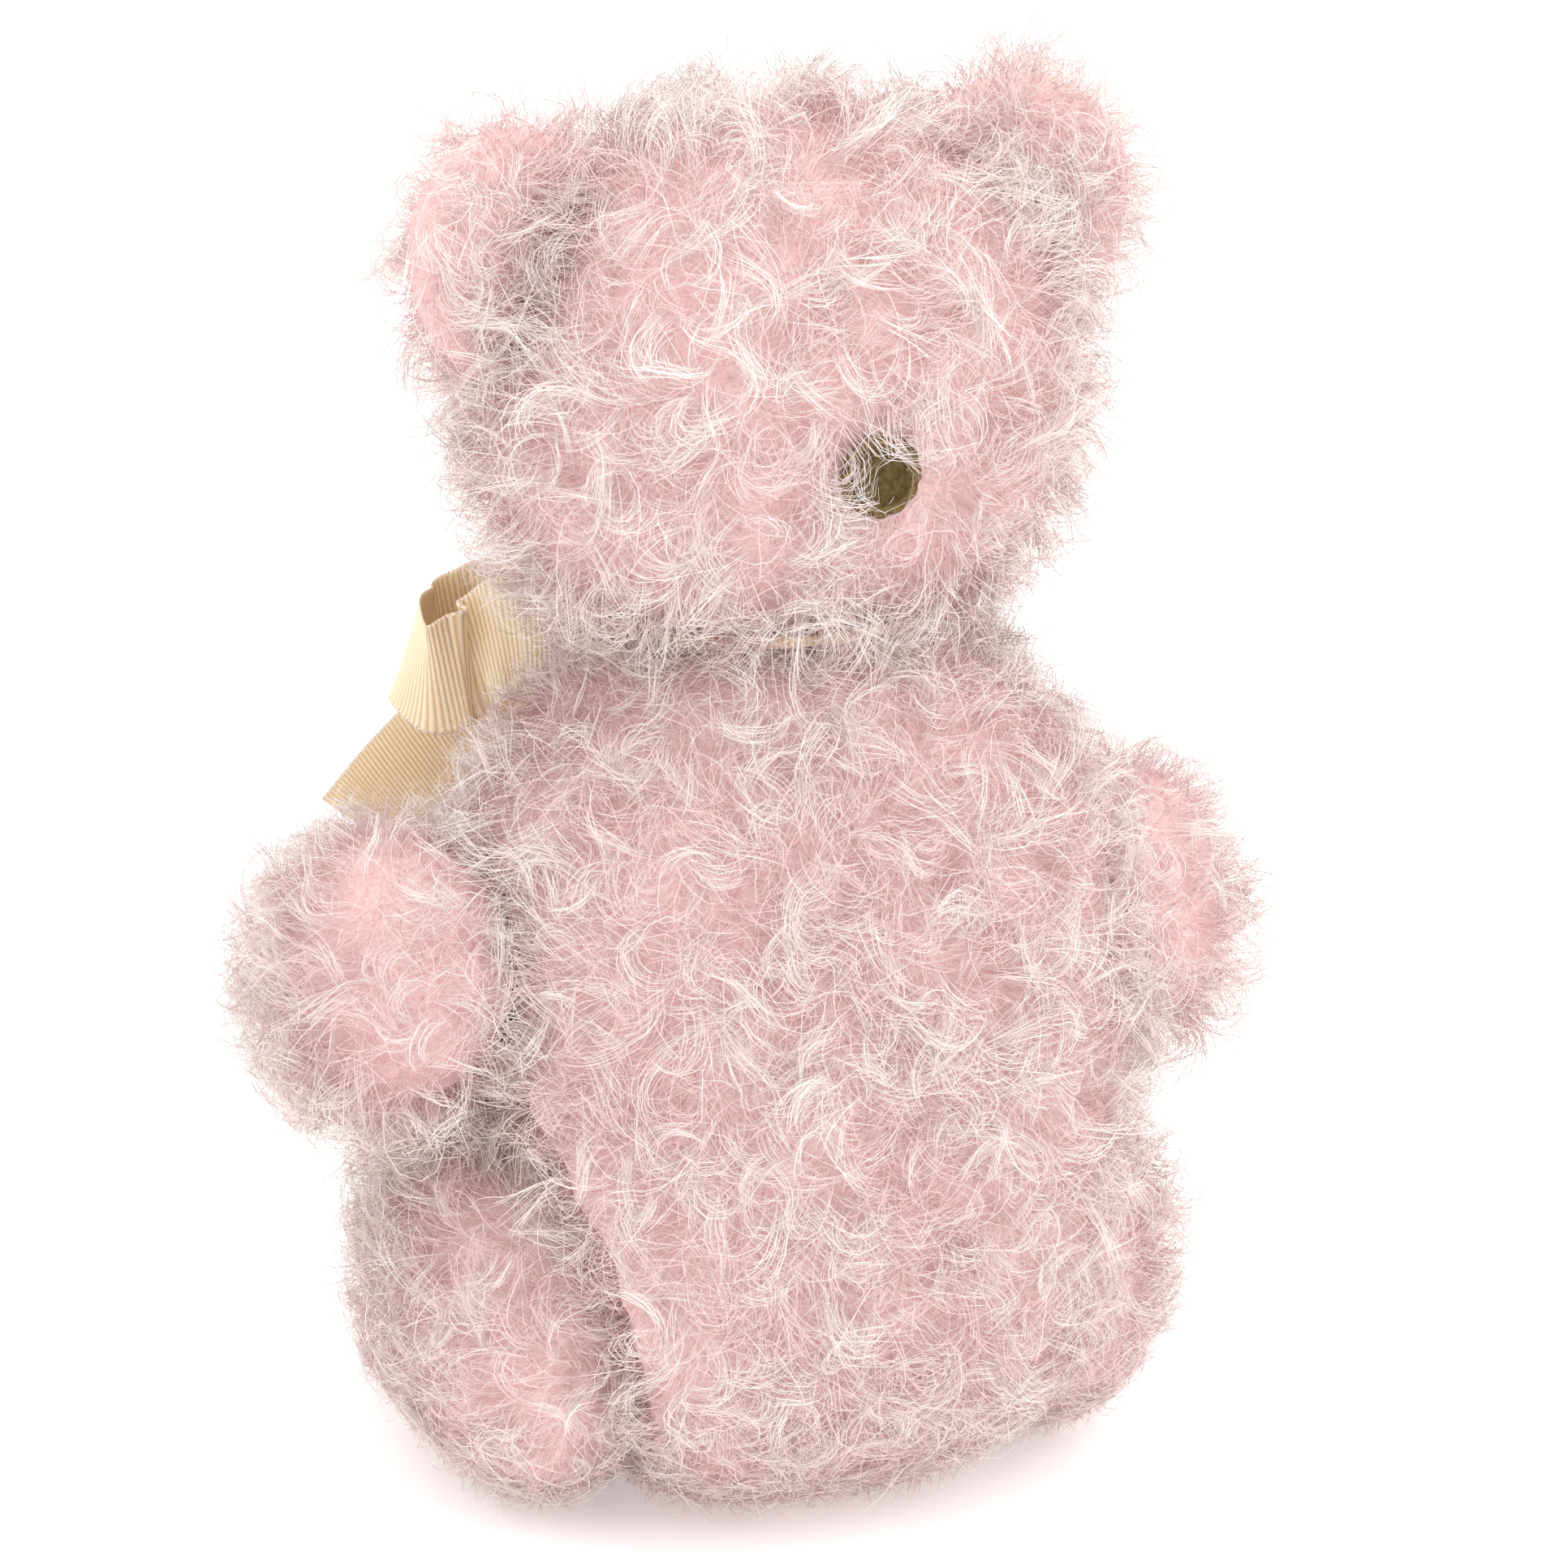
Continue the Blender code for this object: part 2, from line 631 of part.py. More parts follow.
PAW_APART = 60 * MM
PAW_ALONG = 66 * MM
PAW_OUT = 15 * MM
PAW_PAD_SIZE = Vector((16, 10, 4)) * MM
PAW_PAD_SINK = 2.4 * MM
FOOT_PAD_SIZE = Vector((13, 32)) * MM
FOOT_PAD_THICKNESS = 1.6 * MM


def make_arm(side, sign, body_cover, body_stuffing):
    location = Vector((sign * SHOULDER.x, SHOULDER.y, SHOULDER.z))
    outward = Vector((sign, 0, 0))
    along = Vector((0, -math.cos(ARM_DROP), -math.sin(ARM_DROP)))
    shoulder = axis_empty(f"{side}_shoulder_axis", location, outward)
    frame = Matrix((along.cross(outward), along, outward)).transposed().to_4x4()
    matrix = shoulder.matrix_local.inverted() @ Matrix.Translation(location) @ frame
    surface = arm_surface()
    cover, stuffing = cover_and_stuffing(f"{side}_arm", arm_surface, matrix, shoulder)
    outside = place(f"{side}_arm_outside", arm_surface(-CLEAR), None, shoulder, matrix)
    disc_joint(f"{side}_shoulder", "arm", shoulder, SHOULDER_DISC, cover, stuffing, body_cover,
               body_stuffing)
    under = -1 if frame.col[0].z > 0 else 1
    start = Vector((under * PAW_APART, PAW_ALONG, PAW_OUT))
    point, normal = land(surface, start, (-under, 0, 0))
    palm = standing_on(point, normal)
    lengthwise = palm.to_3x3().transposed() @ Vector((0, 1, 0))
    spin = Matrix.Rotation(math.atan2(lengthwise.y, lengthwise.x), 4, "Z")
    pad = place(f"{side}_paw_pad", ball_mesh(f"{side}_paw_pad", PAW_PAD_SIZE, 16, 8), "felt",
                shoulder, matrix @ palm @ spin @ Matrix.Translation((0, 0, -PAW_PAD_SINK)))
    boolean(pad, outside)


def make_leg(side, sign, body_cover, body_stuffing):
    location = Vector((sign * HIP.x, HIP.y, HIP.z))
    hip = axis_empty(f"{side}_hip_axis", location, Vector((sign, 0, 0)))
    matrix = hip.matrix_local.inverted()
    cover, stuffing = cover_and_stuffing(f"{side}_leg", lambda inset: leg_surface(sign, inset),
                                         matrix, hip)
    disc_joint(f"{side}_hip", "leg", hip, HIP_DISC, cover, stuffing, body_cover, body_stuffing)
    sole = Vector((sign * (HIP.x + SOLE_OUT), HIP.y - LEG_REACH - CLEAR - 0.5 * MM, HIP.z))
    seat = matrix @ Matrix.Translation(sole) @ Matrix.Rotation(math.radians(90), 4, "X")
    pad_mesh = cylinder_mesh(f"{side}_foot_pad", 1, 0, FOOT_PAD_THICKNESS, 24)
    pad_mesh.transform(Matrix.Diagonal((FOOT_PAD_SIZE.x, FOOT_PAD_SIZE.y, 1, 1)))
    place(f"{side}_foot_pad", pad_mesh, "felt", hip, seat)


# ---------------------------------------------------------------- ribbon bow

# Points down the middle of each stretch of ribbon, for the bear's left.
BOW_KNOT = Vector((6, -56, 164)) * MM
KNOT_SIZE = Vector((5.5, 4.5, 6.5)) * MM
BAND_RADIUS = 36.2 * MM
BAND_THICKNESS = 2.6 * MM
LOOP_PATH = [(13, -58, 165), (34, -71, 165), (42, -75, 163), (50, -75, 160), (57, -66, 160),
             (56, -55, 156), (50, -52, 158), (46, -54, 160), (41, -50, 165), (31, -45, 168),
             (16, -51, 166)]
LOOP_LEAN = [(0.1, 0.1, 1), (0, 0.2, 1), (0, 0.28, 1), (-0.1, 0.3, 1), (-0.2, 0.4, 1),
             (0, 0.35, 1), (-0.1, 0, 1), (-0.15, -0.15, 1), (-0.15, 0, 1), (-0.25, 0, 1),
             (0, 0, 1)]
TAIL_PATH = [(12, -61, 159), (24, -73, 151), (36, -84, 141), (48, -95, 126), (58, -105, 110)]
TAIL_LEAN = [(0.35, 0, 1)] * 5
RIGHT_TAIL_PATH = [(1, -63, 156), (-8, -69, 147), (-17, -74, 133), (-24, -77, 117), (-30, -77, 102)]
RIGHT_TAIL_LEAN = [(1, 0, -0.3)] * 5


SQUARENESS = 0.6


def mirrored(rows, across=-1.0):
    return [(across * x, y, z) for x, y, z in rows]


def ribbon(name, path, leans, count, taper=1.0):
    """A strip of ribbon along path, its width turned towards the lean given at each point."""
    table = smooth_table([place + lean for place, lean in zip(path, leans)], count)
    rows = [Vector(row[:3]) * MM for row in table]
    def build(bm):
        across = []
        for i, point in enumerate(rows):
            ahead = rows[min(i + 1, count - 1)] - rows[max(i - 1, 0)]
            along = ahead.normalized()
            lean = Vector(table[i][3:]).normalized()
            wide = lean - along * lean.dot(along) * SQUARENESS
            share = i / (count - 1)
            gather = 1 - (1 - taper) * (1 - math.sin(math.pi * share)) ** 2
            half = wide.normalized() * RIBBON_WIDTH / 2 * gather
            across.append([bm.verts.new(point + half * k) for k in (-1, 0, 1)])
        for low, high in zip(across, across[1:]):
            for k in range(2):
                bm.faces.new((low[k], low[k + 1], high[k + 1], high[k]))
    strip = place(name, mesh_of(name, build), "ribbon")
    solidify(strip, RIBBON_THICKNESS, 0.0)


def make_bow():
    ribbon("left_bow_loop", LOOP_PATH, LOOP_LEAN, 16, 0.45)
    ribbon("right_bow_loop", mirrored(LOOP_PATH, -0.88), mirrored(LOOP_LEAN), 16, 0.45)
    ribbon("left_bow_tail", TAIL_PATH, TAIL_LEAN, 8)
    ribbon("right_bow_tail", RIGHT_TAIL_PATH, RIGHT_TAIL_LEAN, 8)
    place("bow_knot", ball_mesh("bow_knot", KNOT_SIZE, 14, 10), "ribbon", None,
          Matrix.Translation(BOW_KNOT))
    ring = axis_empty("neck_ribbon_axis", Vector((0, 0, NECK_HEIGHT)), neck_direction())
    bpy.ops.mesh.primitive_torus_add(
        major_segments=28, minor_segments=6, major_radius=BAND_RADIUS, minor_radius=BAND_THICKNESS)
    made = bpy.context.object
    mesh = made.data
    bpy.data.objects.remove(made)
    mesh.transform(Matrix.Diagonal((1, 0.97, 0.66, 1)))
    place("neck_ribbon", mesh, "ribbon", ring, Matrix.Translation((0, 0, 0.2 * MM)))


body_cover, body_stuffing = make_body()
make_head(body_cover, body_stuffing)
make_limbs(body_cover, body_stuffing)
make_bow()
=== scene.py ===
"""The looks of a jointed mohair teddy bear: pile, backing, bow, button, face, floor and light.

Metres, +Z up. The bear faces -Y and its left side is +X, as in the frame.
"""

import json
import math

import bmesh
import bpy
import numpy as np
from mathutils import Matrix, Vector
from mathutils.bvhtree import BVHTree
from mathutils.kdtree import KDTree

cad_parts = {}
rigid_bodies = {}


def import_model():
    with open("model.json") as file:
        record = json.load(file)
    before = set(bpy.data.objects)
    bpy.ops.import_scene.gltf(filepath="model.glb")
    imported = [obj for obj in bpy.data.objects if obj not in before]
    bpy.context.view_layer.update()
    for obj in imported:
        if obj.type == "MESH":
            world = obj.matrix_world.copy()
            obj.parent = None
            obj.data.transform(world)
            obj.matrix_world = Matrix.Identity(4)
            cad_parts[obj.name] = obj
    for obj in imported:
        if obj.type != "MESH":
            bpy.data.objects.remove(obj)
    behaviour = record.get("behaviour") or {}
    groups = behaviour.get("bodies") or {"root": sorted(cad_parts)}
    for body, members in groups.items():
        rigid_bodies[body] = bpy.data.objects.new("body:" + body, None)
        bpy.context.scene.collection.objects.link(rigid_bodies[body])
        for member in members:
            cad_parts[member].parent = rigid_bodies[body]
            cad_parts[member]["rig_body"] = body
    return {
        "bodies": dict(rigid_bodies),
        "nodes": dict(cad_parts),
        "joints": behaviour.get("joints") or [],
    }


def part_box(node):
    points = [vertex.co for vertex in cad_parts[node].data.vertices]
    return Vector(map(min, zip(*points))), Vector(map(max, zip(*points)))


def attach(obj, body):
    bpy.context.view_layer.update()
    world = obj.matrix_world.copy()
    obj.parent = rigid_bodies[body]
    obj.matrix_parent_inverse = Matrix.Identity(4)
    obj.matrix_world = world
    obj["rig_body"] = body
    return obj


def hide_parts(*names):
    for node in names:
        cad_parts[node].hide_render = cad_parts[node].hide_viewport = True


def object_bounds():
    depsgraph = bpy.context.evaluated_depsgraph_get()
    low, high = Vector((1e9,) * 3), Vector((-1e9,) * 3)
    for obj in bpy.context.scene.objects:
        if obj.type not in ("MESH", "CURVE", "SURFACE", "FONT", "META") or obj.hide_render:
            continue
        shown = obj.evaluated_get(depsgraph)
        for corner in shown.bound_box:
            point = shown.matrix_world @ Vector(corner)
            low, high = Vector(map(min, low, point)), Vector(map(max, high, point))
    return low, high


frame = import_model()
CAD_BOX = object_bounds()
NODES = frame["nodes"]
MM = 0.001

# The photograph's viewpoint.
CAMERA_AZIMUTH = math.radians(159)
CAMERA_ELEVATION = math.radians(14)
CAMERA_DISTANCE = 0.85
CAMERA_TARGET = Vector((0, 0, 0.142))
CAMERA_LENS = 99.8
SENSOR = 36

FLOOR_GLOW = 0.3

# Backing cloth and the simulation that puffs it out. It is held still within JOINT_HOLD of
# another body's cover, and comes free over HOLD_FADE.
VOXEL = 4.5 * MM
SHRINK = 1.5 * MM
PUFF_CAP = 2.5 * MM
PRESSURE = 4
SIM_FRAMES = 20
JOINT_HOLD = 1.2 * MM
HOLD_FADE = 6 * MM
EAR_FREEDOM = 0.4
NEIGHBOUR_REACH = 0.05

# Pile: locks and strands on a square millimetre, and their sizes. PILE_PROUD is how far the
# pile stands from the backing at most, and how far it may pass the CAD box.
LOCKS_PER_MM2 = 0.068
STRANDS_PER_MM2 = 0.72
UNDERCOAT_PER_MM2 = 0.36
PILE_LENGTH = 23 * MM
UNDERCOAT_LENGTH = 8.5 * MM
STRAND_WIDTH = 0.14 * MM
PILE_PROUD = 14.5 * MM
EAR_CROWD = 1.35
LOCK_REACH = 7 * MM
WISP_SHARE = 0.42
STRAY_SHARE = 0.14
FRIZZ_OF_STRAY, FRIZZ_OF_WISP, FRIZZ_OF_LOOSE = 1.8, 0.30, 1.2
# A lock's turn in radians per metre, and its lean in degrees from the normal.
LOCK_CURL = (30, 165)
PRESSED_LEAN, FREE_LEAN = 62, 18
WISP_TIP_LEAN, LOOSE_TIP_LEAN = 94, 89
TOP_SEGMENTS = 7
UNDER_SEGMENTS = 3
TONE_ROWS = 48
PIECE_TRIANGLES = 190_000

# Room for the pile: how far rays look for a neighbour, and the crease round the neck, where
# some pile stands even though the head and body meet.
OPEN_HEIGHT = 30 * MM
CEILING_REACH = 0.04
CREASE_HALF_HEIGHT = 16 * MM
CREASE_INNER_RADIUS = 30 * MM
CREASE_PILE = 10 * MM

# Where the pile is parted or short: the button, the eyes, the nose, and beside the bow.
CLEARING_DEPTH = 14 * MM
CROSSING_SHARE = 0.025
BUTTON_CLEARING = 5.3 * MM
NEAR_BOW = np.array([36.0, -48.0, 164.0]) * MM

# Ribbon.
RIBBON_WIDTH = 24 * MM
RIB_PITCH = 1.1 * MM
RIB_HEIGHT = 0.14 * MM
CORD_HEIGHT = 0.16 * MM
RIBBON_THICKNESS = 0.3 * MM
GATHER_LENGTH = 26 * MM
PLEAT_DEPTH = 1.9 * MM
CUP_DEPTH = 0.5 * MM
NOTCH_DEPTH = 4 * MM
NOTCH_REACH = 14 * MM
TAIL_WAVE = 0.8 * MM


# ---------------------------------------------------------------- small helpers


def unit(vectors):
    length = np.linalg.norm(vectors, axis=-1, keepdims=True)
    return vectors / np.maximum(length, 1e-12)


def dot(a, b):
    return (a * b).sum(-1, keepdims=True)


def ramp(value):
    value = np.clip(value, 0.0, 1.0)
    return value * value * (3 - 2 * value)


def link(obj):
    bpy.context.scene.collection.objects.link(obj)
    return obj


def new_object(name, mesh, *materials):
    for made in materials:
        mesh.materials.append(made)
    return link(bpy.data.objects.new(name, mesh))


def quad_mesh(name, points, quads, uvs=None, uv_name="cloth"):
    """A smooth mesh of quads, with one UV pair for each point where uvs is given."""
    mesh = bpy.data.meshes.new(name)
    mesh.vertices.add(len(points))
    mesh.vertices.foreach_set("co", np.ascontiguousarray(points, np.float32).ravel())
    mesh.loops.add(quads.size)
    mesh.loops.foreach_set("vertex_index", quads.astype(np.int32).ravel())
    mesh.polygons.add(len(quads))
    mesh.polygons.foreach_set("loop_start", np.arange(0, quads.size, 4, dtype=np.int32))
    if uvs is not None:
        layer = mesh.uv_layers.new(name=uv_name)
        layer.data.foreach_set("uv", uvs[quads.ravel()].astype(np.float32).ravel())
    mesh.update(calc_edges=True)
    mesh.shade_smooth()
    return mesh


def vertices_of(mesh):
    points = np.empty(len(mesh.vertices) * 3, np.float32)
    mesh.vertices.foreach_get("co", points)
    return points.reshape(-1, 3).astype(float)


def normals_of(mesh):
    normals = np.empty(len(mesh.vertices) * 3, np.float32)
    mesh.vertex_normals.foreach_get("vector", normals)
    return normals.reshape(-1, 3).astype(float)


def triangles_of(mesh):
    mesh.calc_loop_triangles()
    corners = np.empty(len(mesh.loop_triangles) * 3, np.int32)
    mesh.loop_triangles.foreach_get("vertices", corners)
    return corners.reshape(-1, 3)


def move_vertices(mesh, points):
    mesh.vertices.foreach_set("co", points.astype(np.float32).ravel())
    mesh.update()


def middle_of(node):
    low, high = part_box(node)
    return np.array((low + high) / 2)


def evaluated_mesh(obj):
    bpy.context.view_layer.update()
    graph = bpy.context.evaluated_depsgraph_get()
    return bpy.data.meshes.new_from_object(obj.evaluated_get(graph))


def bake_modifiers(obj):
    """Replaces the object's mesh by its modified one."""
    mesh = evaluated_mesh(obj)
    obj.modifiers.clear()
    obj.data = mesh
    mesh.shade_smooth()
    return obj


class Waves:
    """A smooth, seeded field over space: a sum of plane waves of about one length."""

    def __init__(self, seed, wavelength, count=14):
        source = np.random.default_rng(seed)
        direction = unit(source.normal(size=(count, 3)))
        stretch = source.uniform(0.7, 1.5, size=(count, 1))
        self.waves = direction * stretch * 2 * math.pi / wavelength
        self.phase = source.uniform(0, 2 * math.pi, size=count)
        self.scale = math.sqrt(2 / count)

    def at(self, points):
        return np.cos(points @ self.waves.T + self.phase).sum(-1) * self.scale


# ---------------------------------------------------------------- materials


class Graph:
    """A new material, with short calls for its nodes."""

    def __init__(self, name, roughness=0.8, metallic=0.0):
        self.material = bpy.data.materials.new(name)
        self.material.use_nodes = True
        self.tree = self.material.node_tree
        self.shader = self.tree.nodes["Principled BSDF"]
        self.shader.inputs["Roughness"].default_value = roughness
        self.shader.inputs["Metallic"].default_value = metallic

    def node(self, kind, **settings):
        made = self.tree.nodes.new(kind)
        for key, value in settings.items():
            setattr(made, key, value)
        return made

    def join(self, source, target):
        self.tree.links.new(source, target)

    def set(self, socket, value):
        if isinstance(value, bpy.types.NodeSocket):
            self.join(value, socket)
        else:
            socket.default_value = value

    def coordinates(self, kind="Object"):
        return self.node("ShaderNodeTexCoord").outputs[kind]

    def uv(self, layer):
        split = self.node("ShaderNodeSeparateXYZ")
        self.join(self.node("ShaderNodeUVMap", uv_map=layer).outputs["UV"], split.inputs[0])
        return split.outputs["X"], split.outputs["Y"]

    def maths(self, operation, a, b=0.0, c=0.0):
        made = self.node("ShaderNodeMath", operation=operation)
        for socket, value in zip(made.inputs, (a, b, c)):
            self.set(socket, value)
        return made.outputs[0]

    def mix(self, factor, first, second, blend="MIX"):
        made = self.node("ShaderNodeMix", data_type="RGBA", blend_type=blend)
        self.set(made.inputs["Factor"], factor)
        self.set(made.inputs[6], first)
        self.set(made.inputs[7], second)
        return made.outputs[2]

    def noise(self, scale, detail=3.0, roughness=0.55, vector=None):
        made = self.node("ShaderNodeTexNoise")
        made.inputs["Scale"].default_value = scale
        made.inputs["Detail"].default_value = detail
        made.inputs["Roughness"].default_value = roughness
        self.join(vector or self.coordinates(), made.inputs["Vector"])
        return made.outputs["Fac"]

    def colours(self, factor, *stops):
        made = self.node("ShaderNodeValToRGB")
        ramp_of = made.color_ramp
        for index, (position, colour) in enumerate(stops):
            if index < 2:
                stop = ramp_of.elements[index]
                stop.position = position
            else:
                stop = ramp_of.elements.new(position)
            stop.color = (*colour, 1)
        self.join(factor, made.inputs["Fac"])
        return made.outputs["Color"]

    def bump(self, height, strength, distance):
        made = self.node("ShaderNodeBump")
        made.inputs["Strength"].default_value = strength
        made.inputs["Distance"].default_value = distance
        self.join(height, made.inputs["Height"])
        self.join(made.outputs["Normal"], self.shader.inputs["Normal"])

    def base(self, colour):
        self.join(colour, self.shader.inputs["Base Color"])

    def roughness(self, value):
        self.join(value, self.shader.inputs["Roughness"])


def pile_material():
    """Mohair: rosier at the root, partly its own colour and partly painted shade deep in the pile,
    and paler to the tip, with each strand's own tone.
    """
    graph = Graph("mohair_pile", 0.55)
    graph.shader.inputs["Specular IOR Level"].default_value = 0.25
    along, tone = graph.uv("OFBake")
    tint = graph.colours(tone, (0.0, (0.73, 0.52, 0.51)), (0.35, (0.76, 0.62, 0.60)),
                         (0.7, (0.80, 0.74, 0.71)), (1.0, (0.85, 0.83, 0.80)))
    # Rosier towards the root: partly the fibre's own colour, partly painted shade where the pile is
    # deep.
    root = graph.colours(along, (0.0, (0.93, 0.72, 0.73)), (0.4, (0.98, 0.93, 0.93)),
                         (1.0, (1.0, 1.0, 1.0)))
    graph.base(graph.mix(1.0, tint, root, "MULTIPLY"))
    return graph.material


def backing_material():
    """The woven cloth that the pile stands on."""
    graph = Graph("mohair_backing", 0.95)
    place = graph.coordinates()
    weave = graph.noise(1400, 2.0, 0.5, place)
    patches = graph.noise(60, 3.0, 0.6, place)
    colour = graph.colours(weave, (0.3, (0.80, 0.46, 0.46)), (0.7, (0.88, 0.62, 0.61)))
    graph.base(graph.mix(graph.maths("MULTIPLY", patches, 0.5), colour, (0.84, 0.72, 0.66, 1)))
    graph.bump(weave, 0.5, 0.3 * MM)
    return graph.material


def ribbon_material():
    """Grosgrain: ribs across the ribbon and a corded edge, in cream, with painted shade in deep
    gold grooves between the ribs.
    """
    graph = Graph("grosgrain_ribbon", 0.45)
    graph.shader.inputs["Sheen Weight"].default_value = 0.25
    graph.shader.inputs["Sheen Roughness"].default_value = 0.4
    along, across = graph.uv("cloth")
    turns = graph.maths("MULTIPLY", along, 2 * math.pi * RIBBON_WIDTH / RIB_PITCH)
    rib = graph.maths("MULTIPLY_ADD", graph.maths("COSINE", turns), 0.5, 0.5)
    threads = graph.noise(900, 2.0, 0.6)
    # Painted shade: darker, deep gold in the grooves between the ribs, and pale cream on the
    # crests.
    rib_painted_shade = graph.colours(rib, (0.0, (0.68, 0.46, 0.21)), (0.45, (0.85, 0.66, 0.39)),
                               (1.0, (0.94, 0.84, 0.63)))
    flecked = graph.mix(graph.maths("MULTIPLY", threads, 0.22), rib_painted_shade, (0.90, 0.82, 0.66, 1))
    edge = graph.maths("ABSOLUTE", graph.maths("SUBTRACT", across, 0.5))
    on_edge = graph.maths("GREATER_THAN", edge, 0.478)
    cord_turns = graph.maths("MULTIPLY_ADD", turns, 1.4, graph.maths("MULTIPLY", edge, 60.0))
    cord = graph.maths("MULTIPLY_ADD", graph.maths("COSINE", cord_turns), 0.5, 0.5)
    cord_colour = graph.colours(cord, (0.25, (0.80, 0.55, 0.40)), (0.6, (0.96, 0.88, 0.68)))
    graph.base(graph.mix(on_edge, flecked, cord_colour))
    graph.roughness(graph.maths("MULTIPLY_ADD", threads, 0.25, 0.35))
    graph.bump(threads, 0.35, 0.12 * MM)
    return graph.material


def brass_material():
    """Antique brass: dark in the hollows, rubbed bright along the edges."""
    graph = Graph("antique_brass", 0.4, 1.0)
    place = graph.coordinates()
    stains = graph.noise(700, 4.0, 0.65, place)
    geometry = graph.node("ShaderNodeNewGeometry").outputs["Pointiness"]
    worn = graph.colours(geometry, (0.51, (0.0, 0.0, 0.0)), (0.63, (1.0, 1.0, 1.0)))
    dull = graph.colours(stains, (0.3, (0.045, 0.030, 0.013)), (0.7, (0.15, 0.10, 0.042)))
    graph.base(graph.mix(worn, dull, (0.42, 0.29, 0.12, 1)))
    graph.roughness(graph.maths("MULTIPLY_ADD", stains, 0.35, 0.25))
    graph.bump(stains, 0.3, 0.1 * MM)
    return graph.material


def glass_material():
    """A dark amber glass eye."""
    graph = Graph("eye_glass", 0.06)
    graph.shader.inputs["Coat Weight"].default_value = 1.0
    graph.shader.inputs["Coat Roughness"].default_value = 0.03
    streaks = graph.noise(900, 4.0, 0.7)
    graph.base(graph.colours(streaks, (0.35, (0.012, 0.006, 0.004)), (0.75, (0.10, 0.035, 0.012))))
    return graph.material


def yarn_material():
    """Embroidery yarn, with a twist along each thread."""
    graph = Graph("nose_yarn", 0.85)
    fibres = graph.noise(1800, 3.0, 0.6)
    graph.base(graph.colours(fibres, (0.3, (0.085, 0.035, 0.025)), (0.7, (0.22, 0.11, 0.08))))
    graph.bump(fibres, 0.6, 0.2 * MM)
    return graph.material


def felt_material():
    """Wool felt with matted fibres."""
    graph = Graph("wool_felt", 0.95)
    graph.shader.inputs["Sheen Weight"].default_value = 0.3
    fibres = graph.noise(1300, 5.0, 0.7)
    patches = graph.noise(140, 3.0, 0.5)
    light = graph.colours(fibres, (0.3, (0.70, 0.50, 0.40)), (0.7, (0.86, 0.69, 0.58)))
    graph.base(graph.mix(graph.maths("MULTIPLY", patches, 0.4), light, (0.74, 0.54, 0.45, 1)))
    graph.bump(fibres, 0.7, 0.3 * MM)
    return graph.material


def stuffing_material():
    """Wood wool and cotton, in loose fibres."""
    graph = Graph("loose_stuffing", 1.0)
    fibres = graph.noise(500, 6.0, 0.75)
    graph.base(graph.colours(fibres, (0.3, (0.66, 0.58, 0.42)), (0.7, (0.90, 0.86, 0.74))))
    graph.bump(fibres, 1.0, 1 * MM)
    return graph.material


def fibreboard_material():
    """Pressed board with flecks of fibre."""
    graph = Graph("pressed_fibreboard", 0.8)
    flecks = graph.noise(900, 5.0, 0.7)
    graph.base(graph.colours(flecks, (0.35, (0.22, 0.12, 0.06)), (0.7, (0.48, 0.31, 0.18))))
    graph.bump(flecks, 0.4, 0.1 * MM)
    return graph.material


def steel_material():
    """Drawn steel with fine scratches."""
    graph = Graph("plain_steel", 0.35, 1.0)
    scratches = graph.noise(1500, 3.0, 0.6)
    graph.base(graph.colours(scratches, (0.3, (0.42, 0.42, 0.43)), (0.7, (0.66, 0.66, 0.67))))
    graph.roughness(graph.maths("MULTIPLY_ADD", scratches, 0.3, 0.2))
    return graph.material


PILE = pile_material()
WEAVE = backing_material()
RIBBON = ribbon_material()
BRASS = brass_material()
GLASS = glass_material()
YARN = yarn_material()
FELT = felt_material()
STUFFING = stuffing_material()
FIBREBOARD = fibreboard_material()
STEEL = steel_material()


# ---------------------------------------------------------------- backing cloth

COVERS = ["body_cover", "head_cover", "left_ear", "right_ear", "left_arm_cover",
          "right_arm_cover", "left_leg_cover", "right_leg_cover"]


def body_name(node):
    return NODES[node]["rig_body"]


def tree_of(nodes):
    """A search tree over these CAD nodes."""
    points, faces, start = [], [], 0
    for node in nodes:
        mesh = NODES[node].data
        points.append(vertices_of(mesh))
        faces.append(triangles_of(mesh) + start)
        start += len(mesh.vertices)
    return BVHTree.FromPolygons(np.concatenate(points).tolist(), np.concatenate(faces).tolist())


def neighbours_tree(body):
    return tree_of([node for node in COVERS if body_name(node) != body])


NEIGHBOURS = {body: neighbours_tree(body) for body in frame["bodies"]}
HEAD = tree_of(["head_cover"])


def neck_joint():
    return next(one for one in frame["joints"] if one["child"] == "head")


def outer_surface(node):
    """The cover's outside alone, as one closed mesh, from the hollow CAD cover.

    A face belongs to the outside when it looks away from the cover's long middle line.
    """
    bm = bmesh.new()
    bm.from_mesh(NODES[node].data)
    bmesh.ops.remove_doubles(bm, verts=bm.verts, dist=0.005 * MM)
    points = np.array([corner.co for corner in bm.verts])
    middle = points.mean(0)
    spread = np.linalg.svd(points - middle, full_matrices=False)[2][0]
    reach = np.abs((points - middle) @ spread).max() * 0.45
    inward = []
    for face in bm.faces:
        place = np.array(face.calc_center_median()) - middle
        nearest = spread * np.clip(place @ spread, -reach, reach)
        away = place - nearest
        if np.dot(away, face.normal) < 0.12 * np.linalg.norm(away):
            inward.append(face)
    bmesh.ops.delete(bm, geom=inward, context="FACES")
    open_edges = [edge for edge in bm.edges if edge.is_boundary]
    bmesh.ops.holes_fill(bm, edges=open_edges, sides=0)
    bmesh.ops.recalc_face_normals(bm, faces=bm.faces)
    mesh = bpy.data.meshes.new(node + "_outside")
    bm.to_mesh(mesh)
    bm.free()
    return mesh


